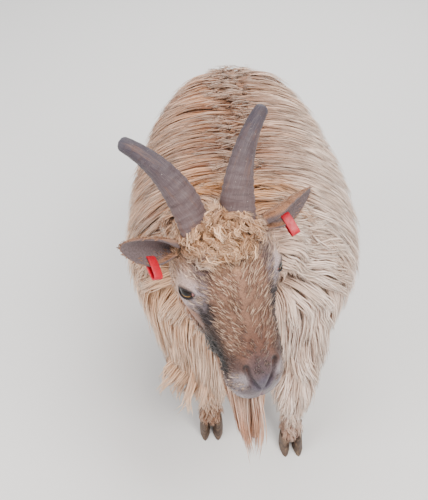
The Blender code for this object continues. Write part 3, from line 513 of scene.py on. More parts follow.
def near_ear(side, points, start, widest):
    """How far points lie along an ear, and which are close round its middle line."""
    root, axis, _, opening = (np.array(part) for part in ear_frame(side))
    reach = (points - root) @ axis
    middle = root + opening * EAR_MIDDLE
    level = np.linalg.norm(points - middle - reach[:, None] * axis, axis=1)
    return reach, (reach > start) & (level < 0.013 + reach * 0.45) & (level < widest)


for side in MIRROR:
    root, axis, lower, opening = ear_frame(side)
    ear_rings = []
    for step in range(33):
        share, radius, half_angle = blend_stations(EAR_STATIONS, step / 32)
        half_angle = math.radians(half_angle)
        centre = root + axis * EAR_LENGTH * share + opening * radius
        angles = [half_angle * (2 * index / 22 - 1) for index in range(23)]
        ear_rings.append([
            centre + (lower * math.sin(angle) - opening * math.cos(angle)) * wall
            for wall, order in ((radius, angles), (radius - EAR_THICKNESS, angles[::-1]))
            for angle in order
        ])
    ear = bmesh.new()
    add_form(ear, ear_rings)
    joined(skin, mesh_object("ear", ear), "UNION")
for face in skin.data.polygons:
    face.use_smooth = True

# Zones for the colours: inside of the ears, whole ears, and dark skin of the lids with painted shade in
# the nostrils and mouth line
skin_tree = BVHTree.FromPolygons(
    [vert.co[:] for vert in skin.data.vertices], [tuple(face.vertices) for face in skin.data.polygons]
)
zone = skin.data.color_attributes.new("zone", "FLOAT_COLOR", "POINT")
zone_values = np.zeros((len(skin.data.vertices), 4), np.float32)
skin_points = np.array([vert.co for vert in skin.data.vertices])
skin_normals = np.array([vert.normal for vert in skin.data.vertices])
for side in MIRROR:
    root, axis, lower, opening = ear_frame(side)
    reach, near = near_ear(side, skin_points, 0.012, 0.030)
    near &= np.linalg.norm(skin_points - np.array(root), axis=1) < EAR_LENGTH + 0.02
    facing = skin_normals @ np.array(opening)
    zone_values[:, 0] += near * np.clip(facing * 3, 0, 1)
    zone_values[:, 1] += near
    gaze, slit, upper = eye_frame(side)
    off = skin_points - np.array(eye_centres[side])
    forwards = off @ np.array(gaze)
    aside = np.stack([off @ np.array(slit) / 1.35, off @ np.array(upper)], 1)
    lid = np.clip((0.0106 - np.linalg.norm(aside, axis=1)) / 0.0022, 0, 1)
    zone_values[:, 2] += lid * (forwards > 0)
# Painted shade: dark in the slits of the nostrils and along the line of the mouth, where the lips close
for index, point in enumerate(skin_points):
    local = head_place(Vector(point))
    if 0.10 < local.y < 0.23 and -0.10 < local.z < 0.03 and abs(local.x) < 0.05:
        slit, distance = nostril_at(local)
        fade, above = mouth_at(local)
        dark = math.exp(-((distance / (0.0044 - 0.0024 * slit)) ** 4)) * (1 - 0.35 * slit)
        zone_values[index, 2] += max(dark, 0.8 * fade * bump_at(above, 0.0, 0.0019))
zone_values[:, 3] = 1
zone.data.foreach_set("color", np.clip(zone_values, 0, 1).ravel())


def paint(red, green, blue):
    """A colour for the shaders from its value on a paint card, 0 to 255."""
    return tuple((part / 255) ** 2.2 for part in (red, green, blue)) + (1.0,)


def shader_node(tree, kind, values=(), **settings):
    """A new node with its settings, and its sockets linked or given values."""
    made = tree.nodes.new("ShaderNode" + kind)
    for name, value in settings.items():
        setattr(made, name, value)
    for label, value in dict(values).items():
        if isinstance(value, bpy.types.NodeSocket):
            tree.links.new(value, made.inputs[label])
        else:
            made.inputs[label].default_value = value
    return made


def vector_math(tree, operation, first, second=None):
    values = {0: first} if second is None else {0: first, 1: second}
    made = shader_node(tree, "VectorMath", values, operation=operation)
    return made.outputs["Value" if operation in ("LENGTH", "DOT_PRODUCT") else "Vector"]


def number_math(tree, operation, first, second=None):
    values = {0: first} if second is None else {0: first, 1: second}
    return shader_node(tree, "Math", values, operation=operation).outputs[0]


def product(tree, first, second):
    return number_math(tree, "MULTIPLY", first, second)


def spread(tree, value, low, high, to_low=0.0, to_high=1.0):
    """A value between two limits, eased to run from one number to another."""
    values = {"Value": value, "From Min": low, "From Max": high, "To Min": to_low, "To Max": to_high}
    return shader_node(tree, "MapRange", values, interpolation_type="SMOOTHSTEP").outputs["Result"]


def tint(tree, share, below, above, blend="MIX"):
    """One colour over another."""
    values = {0: share, 6: below, 7: above}
    return shader_node(tree, "Mix", values, data_type="RGBA", blend_type=blend).outputs[2]


def layered(tree, colour, layers):
    """A colour with others laid over it, each by its mask, its strength and its paint."""
    for mask, strength, shade in layers:
        share = mask if strength == 1.0 else product(tree, mask, strength)
        colour = tint(tree, share, colour, paint(*shade))
    return colour


def noise(tree, place, scale, detail=3.0, rough=0.55, squeeze=(1.0, 1.0, 1.0)):
    placed = shader_node(tree, "Mapping", {"Scale": squeeze, "Vector": place}).outputs[0]
    values = {"Scale": scale, "Detail": detail, "Roughness": rough, "Vector": placed}
    return shader_node(tree, "TexNoise", values).outputs["Fac"]


def split(tree, attribute):
    """An attribute of the piece as a vector, and its three parts."""
    whole = shader_node(tree, "Attribute", attribute_name=attribute).outputs["Vector"]
    return whole, shader_node(tree, "SeparateXYZ", {0: whole}).outputs[:3]


def new_material(name, constants=()):
    """A material with constants on its shader's own sockets, and its node tree."""
    made = bpy.data.materials.new(name)
    made.use_nodes = True
    for label, value in dict(constants).items():
        made.node_tree.nodes["Principled BSDF"].inputs[label].default_value = value
    return made, made.node_tree


def dress_shader(tree, colour, roughness, height, depth, strength=1.0):
    """Link a colour, a roughness and a relief to the material's shader."""
    values = {"Distance": depth, "Strength": strength, "Height": height}
    relief = shader_node(tree, "Bump", values).outputs[0]
    shader = tree.nodes["Principled BSDF"]
    for label, value in (("Base Color", colour), ("Roughness", roughness), ("Normal", relief)):
        tree.links.new(value, shader.inputs[label])


# The markings, the same on skin and coat: pale coat, browner along the right of the spine, dark
# stripes down the face, grey muzzle with white lips, orange cheeks
markings = bpy.data.node_groups.new("markings", "ShaderNodeTree")
for label, way, kind in (
    ("Place", "INPUT", "Vector"), ("Colour", "OUTPUT", "Color"), ("Bare", "OUTPUT", "Float"),
    ("Face", "OUTPUT", "Float"),
):
    markings.interface.new_socket(label, in_out=way, socket_type="NodeSocket" + kind)
tree = markings
place = tree.nodes.new("NodeGroupInput").outputs[0]
from_poll = vector_math(tree, "SUBTRACT", place, tuple(poll))
parts = [
    vector_math(tree, "DOT_PRODUCT", from_poll, tuple(axis))
    for axis in (across_face, along_face, out_of_face)
]
parts[0] = number_math(tree, "ABSOLUTE", parts[0])
in_head = shader_node(tree, "CombineXYZ", dict(enumerate(parts))).outputs[0]
blur = shader_node(tree, "TexNoise", {"Scale": 55.0, "Detail": 3.0, "Vector": place})
centred = vector_math(tree, "SUBTRACT", blur.outputs["Color"], (0.5, 0.5, 0.5))
stir = shader_node(tree, "VectorMath", {0: centred, "Scale": 0.016}, operation="SCALE").outputs[0]
face_place = vector_math(tree, "ADD", in_head, stir)
body_place = vector_math(tree, "ADD", place, stir)


def patch(source, centre, size, soft=0.45):
    """One in the middle of an egg-shaped patch, nothing outside it."""
    offset = vector_math(tree, "SUBTRACT", source, centre)
    scaled = vector_math(tree, "MULTIPLY", offset, tuple(1 / part for part in size))
    return spread(tree, vector_math(tree, "LENGTH", scaled), 1.0 - soft, 1.0 + soft, 1.0, 0.0)


body_x, _, body_z = shader_node(tree, "SeparateXYZ", {0: body_place}).outputs[:3]
broad = noise(tree, place, 9.0)
streaks = noise(tree, place, 62.0, squeeze=(0.22, 1.0, 0.35))
spine = patch(body_place, (-0.060, 0.04, 0.45), (0.075, 0.28, 0.11), 0.4)
brown_streak = product(tree, spine, spread(tree, streaks, 0.46, 0.58))
parting = patch(body_place, (-0.004, 0.06, 0.46), (0.010, 0.28, 0.10), 0.6)
mane_centre = (-0.02 + body_shift.x, -0.165 + body_shift.y, 0.48)
mane = patch(body_place, mane_centre, (0.055, 0.075, 0.06), 0.5)
colour = tint(tree, spread(tree, body_x, -0.12, 0.09), paint(250, 200, 158), paint(255, 228, 212))
colour = layered(tree, colour, (
    (spread(tree, broad, 0.45, 0.7), 0.35, (250, 200, 152)),
    (spine, 0.85, (196, 134, 90)),
    (brown_streak, 0.8, (124, 72, 42)),
    (parting, 0.6, (128, 84, 58)),
    (mane, 0.85, (214, 148, 88)),
    (spread(tree, body_z, 0.035, 0.10, 1.0, 0.0), 0.75, (150, 104, 78)),
))
# Patches of the face, laid in this order: centre, size, softness, strength, paint
FACE_PATCHES = (
    ((0.0, 0.120, 0.004), (0.030, 0.095, 0.034), 0.5, 0.9, (160, 120, 98)),
    ((0.0, 0.160, 0.000), (0.026, 0.026, 0.026), 0.5, 0.8, (122, 84, 70)),
    ((0.048, 0.105, -0.082), (0.034, 0.080, 0.034), 0.4, 1.0, (214, 160, 118)),
    ((0.056, 0.094, -0.046), (0.016, 0.026, 0.018), 0.5, 0.7, (176, 122, 94)),
    ((0.050, 0.125, -0.050), (0.014, 0.030, 0.020), 0.5, 0.6, (128, 98, 92)),
    ((0.0, 0.014, 0.010), (0.054, 0.042, 0.03), 0.4, 1.0, (236, 186, 140)),
    # Painted shade: a dark line in the groove between the two domes of curls on the poll, and a dark spot
    # in the gap under them
    ((0.0, 0.018, 0.014), (0.005, 0.034, 0.020), 0.5, 0.6, (120, 78, 56)),
    ((0.004, 0.053, 0.012), (0.014, 0.008, 0.014), 0.5, 0.85, (64, 46, 42)),
    ((0.040, 0.052, 0.000), (0.010, 0.030, 0.018), 0.5, 0.9, (84, 66, 68)),
    ((0.041, 0.100, -0.016), (0.009, 0.050, 0.016), 0.5, 1.0, (62, 50, 52)),
    ((0.041, 0.156, -0.042), (0.020, 0.034, 0.024), 0.45, 1.0, (34, 24, 20)),
    ((0.034, 0.146, -0.068), (0.022, 0.036, 0.022), 0.5, 1.0, (42, 30, 26)),
    ((0.030, 0.170, -0.012), (0.010, 0.014, 0.014), 0.6, 0.7, (76, 60, 62)),
    ((0.060, 0.036, -0.046), (0.016, 0.034, 0.022), 0.5, 0.7, (96, 76, 78)),
    ((0.056, 0.068, -0.016), (0.026, 0.028, 0.022), 0.35, 0.9, (178, 162, 166)),
    ((0.0, 0.208, -0.040), (0.044, 0.036, 0.050), 0.4, 1.0, (106, 88, 92)),
    ((0.0, 0.186, -0.006), (0.020, 0.022, 0.020), 0.5, 0.8, (112, 92, 94)),
    ((0.0, 0.204, -0.026), (0.013, 0.014, 0.014), 0.4, 0.9, (98, 88, 104)),
    ((0.024, 0.198, -0.052), (0.022, 0.020, 0.009), 0.6, 0.8, (196, 186, 190)),
    ((0.026, 0.190, -0.026), (0.008, 0.012, 0.016), 0.6, 0.8, (196, 184, 188)),
    ((0.0, 0.206, -0.050), (0.006, 0.012, 0.008), 0.5, 0.7, (168, 134, 146)),
    ((0.0, 0.160, -0.090), (0.045, 0.062, 0.024), 0.3, 1.0, (250, 212, 186)),
)
head_colour = layered(tree, paint(150, 112, 92), [
    (patch(face_place, centre, size, soft), strength, shade)
    for centre, size, soft, strength, shade in FACE_PATCHES
])
fore_face = patch(face_place, (0.0, 0.158, -0.030), (0.07, 0.100, 0.060), 0.35)
head_colour = tint(tree, fore_face, head_colour, (0.64, 0.62, 0.62, 1.0), "MULTIPLY")
head_share = patch(face_place, (0.0, 0.115, -0.030), (0.072, 0.135, 0.085), 0.22)
bare_nose = patch(face_place, (0.0, 0.206, -0.032), (0.022, 0.020, 0.022), 0.3)
ends = tree.nodes.new("NodeGroupOutput")
tree.links.new(tint(tree, head_share, colour, head_colour), ends.inputs[0])
tree.links.new(bare_nose, ends.inputs[1])
tree.links.new(head_share, ends.inputs[2])

hide, tree = new_material(
    "hide", {"Specular IOR Level": 0.25, "Sheen Weight": 0.12, "Sheen Roughness": 0.5}
)
where = tree.nodes.new("ShaderNodeTexCoord").outputs["Object"]
marks = shader_node(tree, "Group", {0: where}, node_tree=markings)
ear_inside, ear_whole, dark_lids_and_slit_shade = split(tree, "zone")[1]
hairs = noise(tree, where, 900.0, 2.0, 0.6, (1.0, 1.0, 0.4))
pores = noise(tree, where, 340.0, 4.0)
# Painted shade: under the coat the skin is the markings' colour darkened, as in the shade of the hair;
# the face keeps the markings' colour
shaded_under_coat = tint(tree, 1.0, marks.outputs[0], (0.42, 0.38, 0.35, 1.0), "MULTIPLY")
skin_colour = tint(tree, marks.outputs[2], shaded_under_coat, marks.outputs[0])
# Ear colours, then the dark skin of the lids and the painted shade in the nostrils and the line of the
# mouth
skin_colour = layered(tree, skin_colour, (
    (ear_whole, 1.0, (158, 112, 84)), (ear_inside, 1.0, (104, 90, 90)), (dark_lids_and_slit_shade, 1.0, (30, 22, 24)),
))
shadow = spread(tree, hairs, 0.35, 0.65, 0.62, 1.08)
grey = shader_node(tree, "CombineColor", {0: shadow, 1: shadow, 2: shadow}).outputs[0]
dress_shader(
    tree, tint(tree, 1.0, skin_colour, grey, "MULTIPLY"),
    spread(tree, marks.outputs[1], 0.0, 1.0, 0.75, 0.42), number_math(tree, "ADD", hairs, pores),
    0.0006, 0.8,
)
skin.data.materials.clear()
skin.data.materials.append(hide)
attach(skin, "root")
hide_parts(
    "torso", "neck", "head", "tail", "foreleg_left", "foreleg_right", "hindleg_left", "hindleg_right",
    "ear_left", "ear_right",
)

# Coat of the body: the goat's own long hair, silky and cream to tan, still rooted in the hide. It
# is combed out and down from the parting along the spine, and lies in wisps of thin tapered tufts.
random = np.random.default_rng(11)
PATH_STEPS = 8
ROOT_SINK = 0.0015
HANG_LIMIT = -0.15
QUICK_SHARE = 1.0
# How much single wisps and tufts differ from their kind
LENGTH_RANGE = (0.82, 1.12)
LIFT_RANGE = (0.78, 1.12)
TUFT_LENGTH_RANGE = (0.72, 1.0)
GATHER_RANGE = (0.6, 1.25)
WIDTH_RANGE = (0.6, 1.4)
TAPER_PLACES = (0.0, 0.25, 0.6, 0.85, 1.0)
TAPER_WIDTHS = (0.55, 1.0, 0.8, 0.45, 0.1)
BAKE_PATCH = 0.003
HEAD_AXES = np.array([across_face[:], along_face[:], out_of_face[:]])
skin.data.calc_loop_triangles()
corners = np.array([triangle.vertices for triangle in skin.data.loop_triangles])
corner_points = skin_points[corners]
face_cross = np.cross(
    corner_points[:, 1] - corner_points[:, 0], corner_points[:, 2] - corner_points[:, 0]
)
face_areas = np.linalg.norm(face_cross, axis=1) / 2
face_normals = face_cross / (face_areas[:, None] * 2 + 1e-12)
face_centres = corner_points.mean(axis=1)


def scatter(mask, per_square_metre):
    """Random roots over the chosen faces of the skin, with their normals."""
    chosen = np.flatnonzero(mask)
    weight = face_areas[chosen]
    count = int(weight.sum() * per_square_metre * QUICK_SHARE)
    picks = chosen[random.choice(len(chosen), count, p=weight / weight.sum())]
    first, second = random.random(count), random.random(count)
    over = first + second > 1
    first[over], second[over] = 1 - first[over], 1 - second[over]
    start, one, other = (corner_points[picks][:, corner] for corner in range(3))
    roots = start + (one - start) * first[:, None] + (other - start) * second[:, None]
    return roots, face_normals[picks]


def lay_path(root, normal, heading, length, lift, bend):
    """Places and outward directions of one wisp along the skin, then hanging free."""
    spot, out = Vector(root), Vector(normal)
    path = [(spot - out * ROOT_SINK, out)]
    reach = length / PATH_STEPS
    for step in range(1, PATH_STEPS + 1):
        share = step / PATH_STEPS
        curl = bend * math.sin(share * 4.4)
        if out.z > HANG_LIMIT:
            travel = heading(spot, out)
            travel = (travel - out * travel.dot(out)).normalized()
            travel = Matrix.Rotation(curl, 3, out) @ travel
            found = skin_tree.find_nearest(spot + travel * reach)
            spot, out = found[0], (out * 0.5 + found[1]).normalized()
            rise = lift * share**0.8 - ROOT_SINK * (1 - share) ** 3
            path.append((spot + out * rise, out))
        else:
            level = Vector((out.x, out.y, 0.0))
            if level.length < 0.2:
                level = Vector((0.3 if spot.x > 0 else -0.3, -1.0, 0.0))
            level.normalize()
            before, last_out = path[-1]
            fall = Matrix.Rotation(curl, 3, level) @ heading(before, level).normalized()
            fall = (fall - last_out * 0.10).normalized()
            path.append((before + fall * reach, last_out.lerp(level, 0.35)))
    return path


def wrapped(across, up, along):
    """Places on the unwrap of a round form: the turn round it, and the way along it."""
    return np.stack([np.arctan2(across, up) / (2 * math.pi) + 0.5, along], 1)


def barrel_unwrap(roots):
    return wrapped(roots[:, 0] - body_shift.x, roots[:, 2] - 0.31, (roots[:, 1] + 0.36) / 0.76)


def head_unwrap(roots):
    local = (roots - np.array(poll)) @ HEAD_AXES.T
    return wrapped(local[:, 0], local[:, 2] + 0.045, (local[:, 1] + 0.16) / 0.40)


def leg_unwrap(name):
    foot = np.array(FEET[name]) + np.array(body_shift[:2])
    return lambda roots: wrapped(
        roots[:, 0] - foot[0], roots[:, 1] - foot[1] - 0.015, roots[:, 2] / 0.34
    )


def sized(size, root, normal):
    """A size that is the same all over, or one that depends on where the hair grows."""
    return size(root, normal) if callable(size) else size


def unit(rows, least=1e-9):
    return rows / (np.linalg.norm(rows, axis=2, keepdims=True) + least)


def tuft_mesh(name, points, rings):
    """A mesh of open three-sided tufts, each with its tip in one point."""
    count, each = points.shape[:2]
    quads = [
        (ring * 3 + side, ring * 3 + (side + 1) % 3, ring * 3 + 3 + (side + 1) % 3, ring * 3 + 3 + side)
        for ring in range(rings - 1) for side in range(3)
    ]
    last = rings * 3 - 3
    ends = [(last + side, last + (side + 1) % 3, rings * 3) for side in range(3)]
    one = np.array([corner for face in quads + ends for corner in face])
    loops = (np.arange(count)[:, None] * each + one[None]).ravel()
    sizes = np.tile([4] * len(quads) + [3] * len(ends), count)
    mesh = bpy.data.meshes.new(name)
    mesh.vertices.add(count * each)
    mesh.vertices.foreach_set("co", points.ravel())
    mesh.loops.add(len(loops))
    mesh.loops.foreach_set("vertex_index", loops)
    mesh.polygons.add(len(sizes))
    mesh.polygons.foreach_set("loop_start", np.concatenate([[0], np.cumsum(sizes)[:-1]]))
    mesh.polygons.foreach_set("loop_total", sizes)
    mesh.update(calc_edges=True)
    mesh.validate()
    mesh.polygons.foreach_set("use_smooth", np.ones(len(mesh.polygons), bool))
    return mesh, loops


def coat(name, roots, normals, heading, length, lift, width, unwrap, material,
         wisp=12, gather=0.6, bend=0.3, wave=0.0, waves=1.0, rings=4, thick=0.7, twist=0.7):
    """One piece of coat: wisps laid along the heading, and tufts that follow their wisp.

    length, lift and width are sizes, or functions of a root and its normal.
    """
    count = len(roots)
    order = random.permutation(count)
    roots, normals = roots[order], normals[order]
    wisps = max(count // wisp, 1)
    finder = kdtree.KDTree(wisps)
    paths = np.zeros((wisps, PATH_STEPS + 1, 3))
    outs = np.zeros((wisps, PATH_STEPS + 1, 3))
    for index, (root, normal) in enumerate(zip(roots[:wisps], normals[:wisps])):
        finder.insert(root, index)
        reach = sized(length, root, normal) * random.uniform(*LENGTH_RANGE)
        height = sized(lift, root, normal) * random.uniform(*LIFT_RANGE)
        path = lay_path(root, normal, heading, reach, height, bend * random.uniform(-1, 1))
        paths[index] = [spot for spot, out in path]
        outs[index] = [out for spot, out in path]
    finder.balance()
    guide = np.array([finder.find(root)[1] for root in roots])
    shades = random.random(wisps)[guide]

    # Each tuft runs beside its wisp, drawn in towards it at the tip
    places = np.linspace(0.0, 1.0, rings + 1) ** 0.9
    along = places[None, :] * random.uniform(*TUFT_LENGTH_RANGE, count)[:, None] * PATH_STEPS
    low = np.minimum(along.astype(int), PATH_STEPS - 1)
    part = (along - low)[:, :, None]
    rows = guide[:, None]
    centre = paths[rows, low] * (1 - part) + paths[rows, low + 1] * part
    out = unit(outs[rows, low] * (1 - part) + outs[rows, low + 1] * part, 0.0)
    drawn_in = gather * random.uniform(*GATHER_RANGE, count)[:, None] * places[None, :] ** 0.8
    centre = centre + (roots - roots[:wisps][guide])[:, None, :] * (1 - drawn_in)[:, :, None]
    ahead = unit(np.gradient(centre, axis=1))
    side = unit(np.cross(ahead, out))
    stray = random.normal(0, 1, (count, 1)) * places[None, :] ** 1.4
    if wave:
        phase = random.uniform(0, 2 * math.pi, wisps)[guide]
        turned = phase[:, None] + places[None, :] * waves * 2 * math.pi
        swing = np.sin(turned) - np.sin(phase)[:, None]
        centre = centre + side * (swing * wave)[:, :, None]
        rise = np.cos(turned) - np.cos(phase)[:, None]
        centre = centre + out * (np.abs(rise) * wave * 0.5)[:, :, None]
    widths = np.array([sized(width, root, normal) for root, normal in zip(roots, normals)])
    widths = widths * random.uniform(*WIDTH_RANGE, count)
    centre = centre + side * (stray * widths[:, None] * 1.2)[:, :, None]
    loose = np.abs(random.normal(0, 1, (count, 1))) * places[None, :]
    centre = centre + out * (loose * widths[:, None] * 0.9)[:, :, None]

    # Its section is a low triangle, turned about its length and tapered to the tip
    upper = np.cross(side, ahead)
    turn = random.uniform(-twist, twist, count)[:, None, None]
    across = side * np.cos(turn) + upper * np.sin(turn)
    upper = upper * np.cos(turn) - side * np.sin(turn)
    taper = np.interp(places[:-1], TAPER_PLACES, TAPER_WIDTHS)
    half = (widths[:, None] * taper[None, :] / 2)[:, :, None]
    line, across, upper = centre[:, :-1], across[:, :-1] * half, upper[:, :-1] * half * thick
    sections = np.stack([line - across, line + upper, line + across], 2)
    points = np.concatenate([sections.reshape(count, rings * 3, 3), centre[:, -1:, :]], 1)
    mesh, loops = tuft_mesh(name, points, rings)

    # Way to the tip, tuft and wisp shades, root and fibre places, and the patch for baking
    each = rings * 3 + 1
    share = np.append(np.repeat(places[:-1], 3), 1.0)
    breadth = np.append(np.tile([0.0, 0.5, 1.0], rings), 0.5)
    strand = np.ones((count, each, 4), np.float32)
    strand[:, :, 0] = share[None, :]
    strand[:, :, 1] = random.random(count)[:, None]
    strand[:, :, 2] = shades[:, None]
    strands = mesh.color_attributes.new("strand", "FLOAT_COLOR", "POINT")
    strands.data.foreach_set("color", strand.ravel())
    fibre = np.zeros((count, each, 3), np.float32)
    fibre[:, :, 0] = breadth[None, :] * widths[:, None] + random.random(count)[:, None] * 9
    lengths = np.linalg.norm(np.diff(centre, axis=1), axis=2).sum(axis=1)
    fibre[:, :, 1] = share[None, :] * lengths[:, None]
    origin = np.repeat(roots, each, axis=0).astype(np.float32)
    for label, values in (("root", origin), ("fibre", fibre)):
        mesh.attributes.new(label, "FLOAT_VECTOR", "POINT").data.foreach_set("vector", values.ravel())
    spot = np.clip(unwrap(roots), 0.003, 0.994)
    flat = np.zeros((count, each, 2), np.float32)
    flat[:, :, 0] = spot[:, :1] + (breadth * BAKE_PATCH)[None, :]
    flat[:, :, 1] = spot[:, 1:] + (share * BAKE_PATCH)[None, :]
    mesh.uv_layers.new(name="OFBake").data.foreach_set("uv", flat.reshape(-1, 2)[loops].ravel())
    mesh.materials.append(material)
    made = bpy.data.objects.new(name, mesh)
    bpy.context.scene.collection.objects.link(made)
    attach(made, "root")


def hair_material(name, tip, tip_share, root_shade=0.74, contrast=0.3, ticking=0.0, own=None):
    """Hair in the markings' colours, paler at the tip, with fine fibres along each tuft."""
    made, tree = new_material(name, {"Specular IOR Level": 0.42, "Sheen Weight": 0.15})
    marks = shader_node(tree, "Group", {0: split(tree, "root")[0]}, node_tree=markings)
    share, single, wisp = split(tree, "strand")[1]
    fibres = noise(tree, split(tree, "fibre")[0], 2300.0, 2.0, 0.6, (1.0, 0.03, 1.0))
    mix = product(tree, spread(tree, share, 0.35, 1.0), tip_share)
    if ticking:
        bright = shader_node(tree, "RGBToBW", {0: marks.outputs[0]}).outputs[0]
        ticked = product(tree, spread(tree, single, 0.45, 0.75), ticking)
        ticked = product(tree, ticked, spread(tree, bright, 0.03, 0.15))
        ticked = product(tree, ticked, spread(tree, share, 0.0, 0.5))
        mix = number_math(tree, "MAXIMUM", mix, ticked)
    colour = tint(tree, mix, own or marks.outputs[0], tip)
    light = product(
        tree, spread(tree, single, 0.0, 1.0, 1.0 - contrast * 0.5, 1.0 + contrast * 0.3),
        spread(tree, wisp, 0.0, 1.0, 1.0 - contrast * 0.6, 1.0 + contrast * 0.2),
    )
    light = product(tree, light, spread(tree, share, 0.0, 0.45, root_shade, 1.0))
    light = product(tree, light, spread(tree, fibres, 0.32, 0.62, 0.74, 1.06))
    # Shadows between the hairs are warm, so green and blue fall off faster than red
    parts = [number_math(tree, "POWER", light, power) for power in (0.9, 1.15, 1.4)]
    warm = shader_node(tree, "CombineColor", dict(enumerate(parts))).outputs[0]
    dress_shader(
        tree, tint(tree, 1.0, colour, warm, "MULTIPLY"), spread(tree, single, 0.0, 1.0, 0.36, 0.50),
        fibres, 0.0003, 0.6,
    )
    return made


def body_heading(place, out):
    """Out from the parting along the spine, down the flanks, swept back behind the shoulders."""
    flat = max(out.z, 0.0)
    bow, zigzag = 0.006 * math.sin(place.y * 28), 0.005 * math.sin(place.y * 900)
    side = math.copysign(1.0, place.x - (body_shift.x - 0.003 + bow + zigzag))
    sweep = clamped((place.y - body_shift.y + 0.15) / 0.2)
    return Vector((side * flat * 1.5, 0.22 * sweep * (1 - flat * 0.8), flat * 0.5 - 1.0))


def ridge_heading(place, out):
    """Across the parting to either side by turns."""
    return Vector((math.copysign(1.0, math.sin(place.y * 1100)), 0.0, -0.2))


def neck_heading(place, out):
    """Back towards the withers over the top, down and a little back at the sides."""
    flat = max(out.z, 0.0)
    side = math.copysign(1.0, place.x - body_shift.x - poll.x * 0.5)
    return Vector((side * flat * 0.9, 0.55, flat * 0.5 - 0.8))


def torso_length(root, normal):
    """Longer low on the flanks, and longest on the right of the chest."""
    low = clamped((0.36 - root[2]) / 0.14)
    front = clamped((-root[1] + 0.02) / 0.14)
    longer = 0.10 * (0.75 if root[0] < 0 else 0.12) * front * low
    return min(0.110 + 0.015 * low, max(root[2] - 0.150, 0.045)) + longer


def inside(values, low, high):
    return (values > low) & (values < high)


BACK_LEVEL = 0.37
body_x, body_y, body_z = (face_centres - np.array(body_shift)).T
face_head = (face_centres - np.array(poll)) @ HEAD_AXES.T
face_across, face_along, face_out = np.abs(face_head[:, 0]), face_head[:, 1], face_head[:, 2]
on_head = (face_along > -0.018) & (face_across < 0.075) & inside(face_out, -0.118, 0.03)
on_ear = np.zeros(len(face_centres), bool)
for side in MIRROR:
    reach, near = near_ear(side, face_centres, 0.014, 0.028)
    on_ear |= near & (reach < EAR_LENGTH + 0.01)
on_head &= ~on_ear
for index in np.flatnonzero(on_head & ((face_along < 0.04) | (face_out < -0.075))):
    on_head[index] = head_tree.find_nearest(Vector(face_centres[index]))[3] < 0.0045
near_leg = {}
for name, foot in FEET.items():
    drift = np.clip((body_z - 0.1) / 0.1, 0, 1) * (0.035 if name.startswith("fore") else -0.04)
    gap = np.hypot(body_x - foot[0], body_y - foot[1] - 0.012 - drift)
    near_leg[name] = (gap < 0.062) & (body_z < 0.196)
on_tail = (body_y > 0.262) & (np.abs(body_x) < 0.026) & (body_z > 0.33)
trunk = ~(on_head | on_ear | np.any(list(near_leg.values()), axis=0) | on_tail)
on_neck = trunk & (body_y < -0.165) & (body_z > 0.335)
trunk &= ~on_neck
left, back, front = body_x >= 0, body_z > BACK_LEVEL, body_y < 0.02
regions = {"back_left": left & back, "back_right": ~left & back}
for name, half in (("flank_left", left), ("flank_right", ~left)):
    regions[f"{name}_front"] = half & ~back & front
    regions[f"{name}_rear"] = half & ~back & ~front
long_hair = hair_material("long_hair", paint(252, 238, 222), 0.35)
for name, region in regions.items():
    coat(
        f"coat_{name}", *scatter(trunk & region, 64000), body_heading, torso_length, 0.016, 0.0027,
        barrel_unwrap, long_hair, wisp=12, gather=0.28, bend=0.12, wave=0.0010, waves=0.9,
        rings=5, thick=0.34, twist=0.35,
    )
ridge = trunk & back & (np.abs(body_x + 0.003) < 0.009)
coat(
    "coat_parting", *scatter(ridge, 150000), ridge_heading, 0.070, 0.012, 0.0024, barrel_unwrap,
    long_hair, wisp=4, gather=0.3, bend=0.25, rings=5, thick=0.34, twist=0.4,
)
coat(
    "coat_neck", *scatter(on_neck, 80000), neck_heading, 0.085, 0.016, 0.0026, barrel_unwrap,
    long_hair, wisp=14, gather=0.45, bend=0.25, wave=0.0015, rings=5, thick=0.34, twist=0.4,
)
for name in FEET:
    longest = 0.085 if name.startswith("fore") else 0.060

    def leg_length(root, normal):
        return 0.018 + longest * clamped((root[2] - 0.06) / 0.12) ** 1.3

    def leg_lift(root, normal):
        """The right shoulder's tuft stands out."""
        high = clamped((root[2] - 0.08) / 0.10)
        if name == "foreleg_right":
            return 0.004 + (0.012 + 0.066 * clamped(-normal[0] * 0.9 - normal[1] * 0.35)) * high
        return 0.003 + 0.016 * high

    coat(
        f"coat_{name}", *scatter(near_leg[name], 95000), lambda place, out: Vector((0.0, 0.04, -1.0)),
        leg_length, leg_lift, lambda root, normal: 0.0015 + 0.0011 * clamped((root[2] - 0.05) / 0.1),
        leg_unwrap(name), long_hair, wisp=12, gather=0.5, bend=0.2, wave=0.0010, thick=0.4, twist=0.5,
    )
coat(
    "coat_tail", *scatter(on_tail, 110000), lambda place, out: Vector((0.0, 0.35, -1.0)), 0.045,
    0.007, 0.0024, barrel_unwrap, long_hair, wisp=10, gather=0.5, bend=0.2,
)

# Hair of the head: short hair that lies back from the nose, the curly tuft of the poll, cheek hair
# and the beard. It is the goat's own, rooted in the hide, and the beard is combed to a point.
short_hair = hair_material("short_hair", paint(232, 196, 164), 0.04, 0.74, 0.45, 0.6)
ear_hair = hair_material("ear_hair", paint(190, 150, 118), 0.4, 0.85, own=paint(148, 104, 76))
tuft_hair = hair_material("tuft_hair", paint(240, 206, 176), 0.5, 0.45, 0.75)
beard_hair = hair_material("beard_hair", paint(228, 152, 100), 0.8, 0.75, 0.5, own=paint(252, 214, 190))


def face_heading(place, out):
    """Back from the nose and out from the line down the nose."""
    side = math.copysign(1.0, head_place(place).x)
    bridge = max(out.dot(out_of_face), 0.0)
    back = -along_face * (0.75 + 0.2 * bridge)
    return back + across_face * side * 0.6 * bridge - out_of_face * 0.5 * (1 - bridge)


def face_length(root, normal):
    return 0.0040 + 0.0095 * clamped((0.205 - head_place(Vector(root)).y) / 0.08)


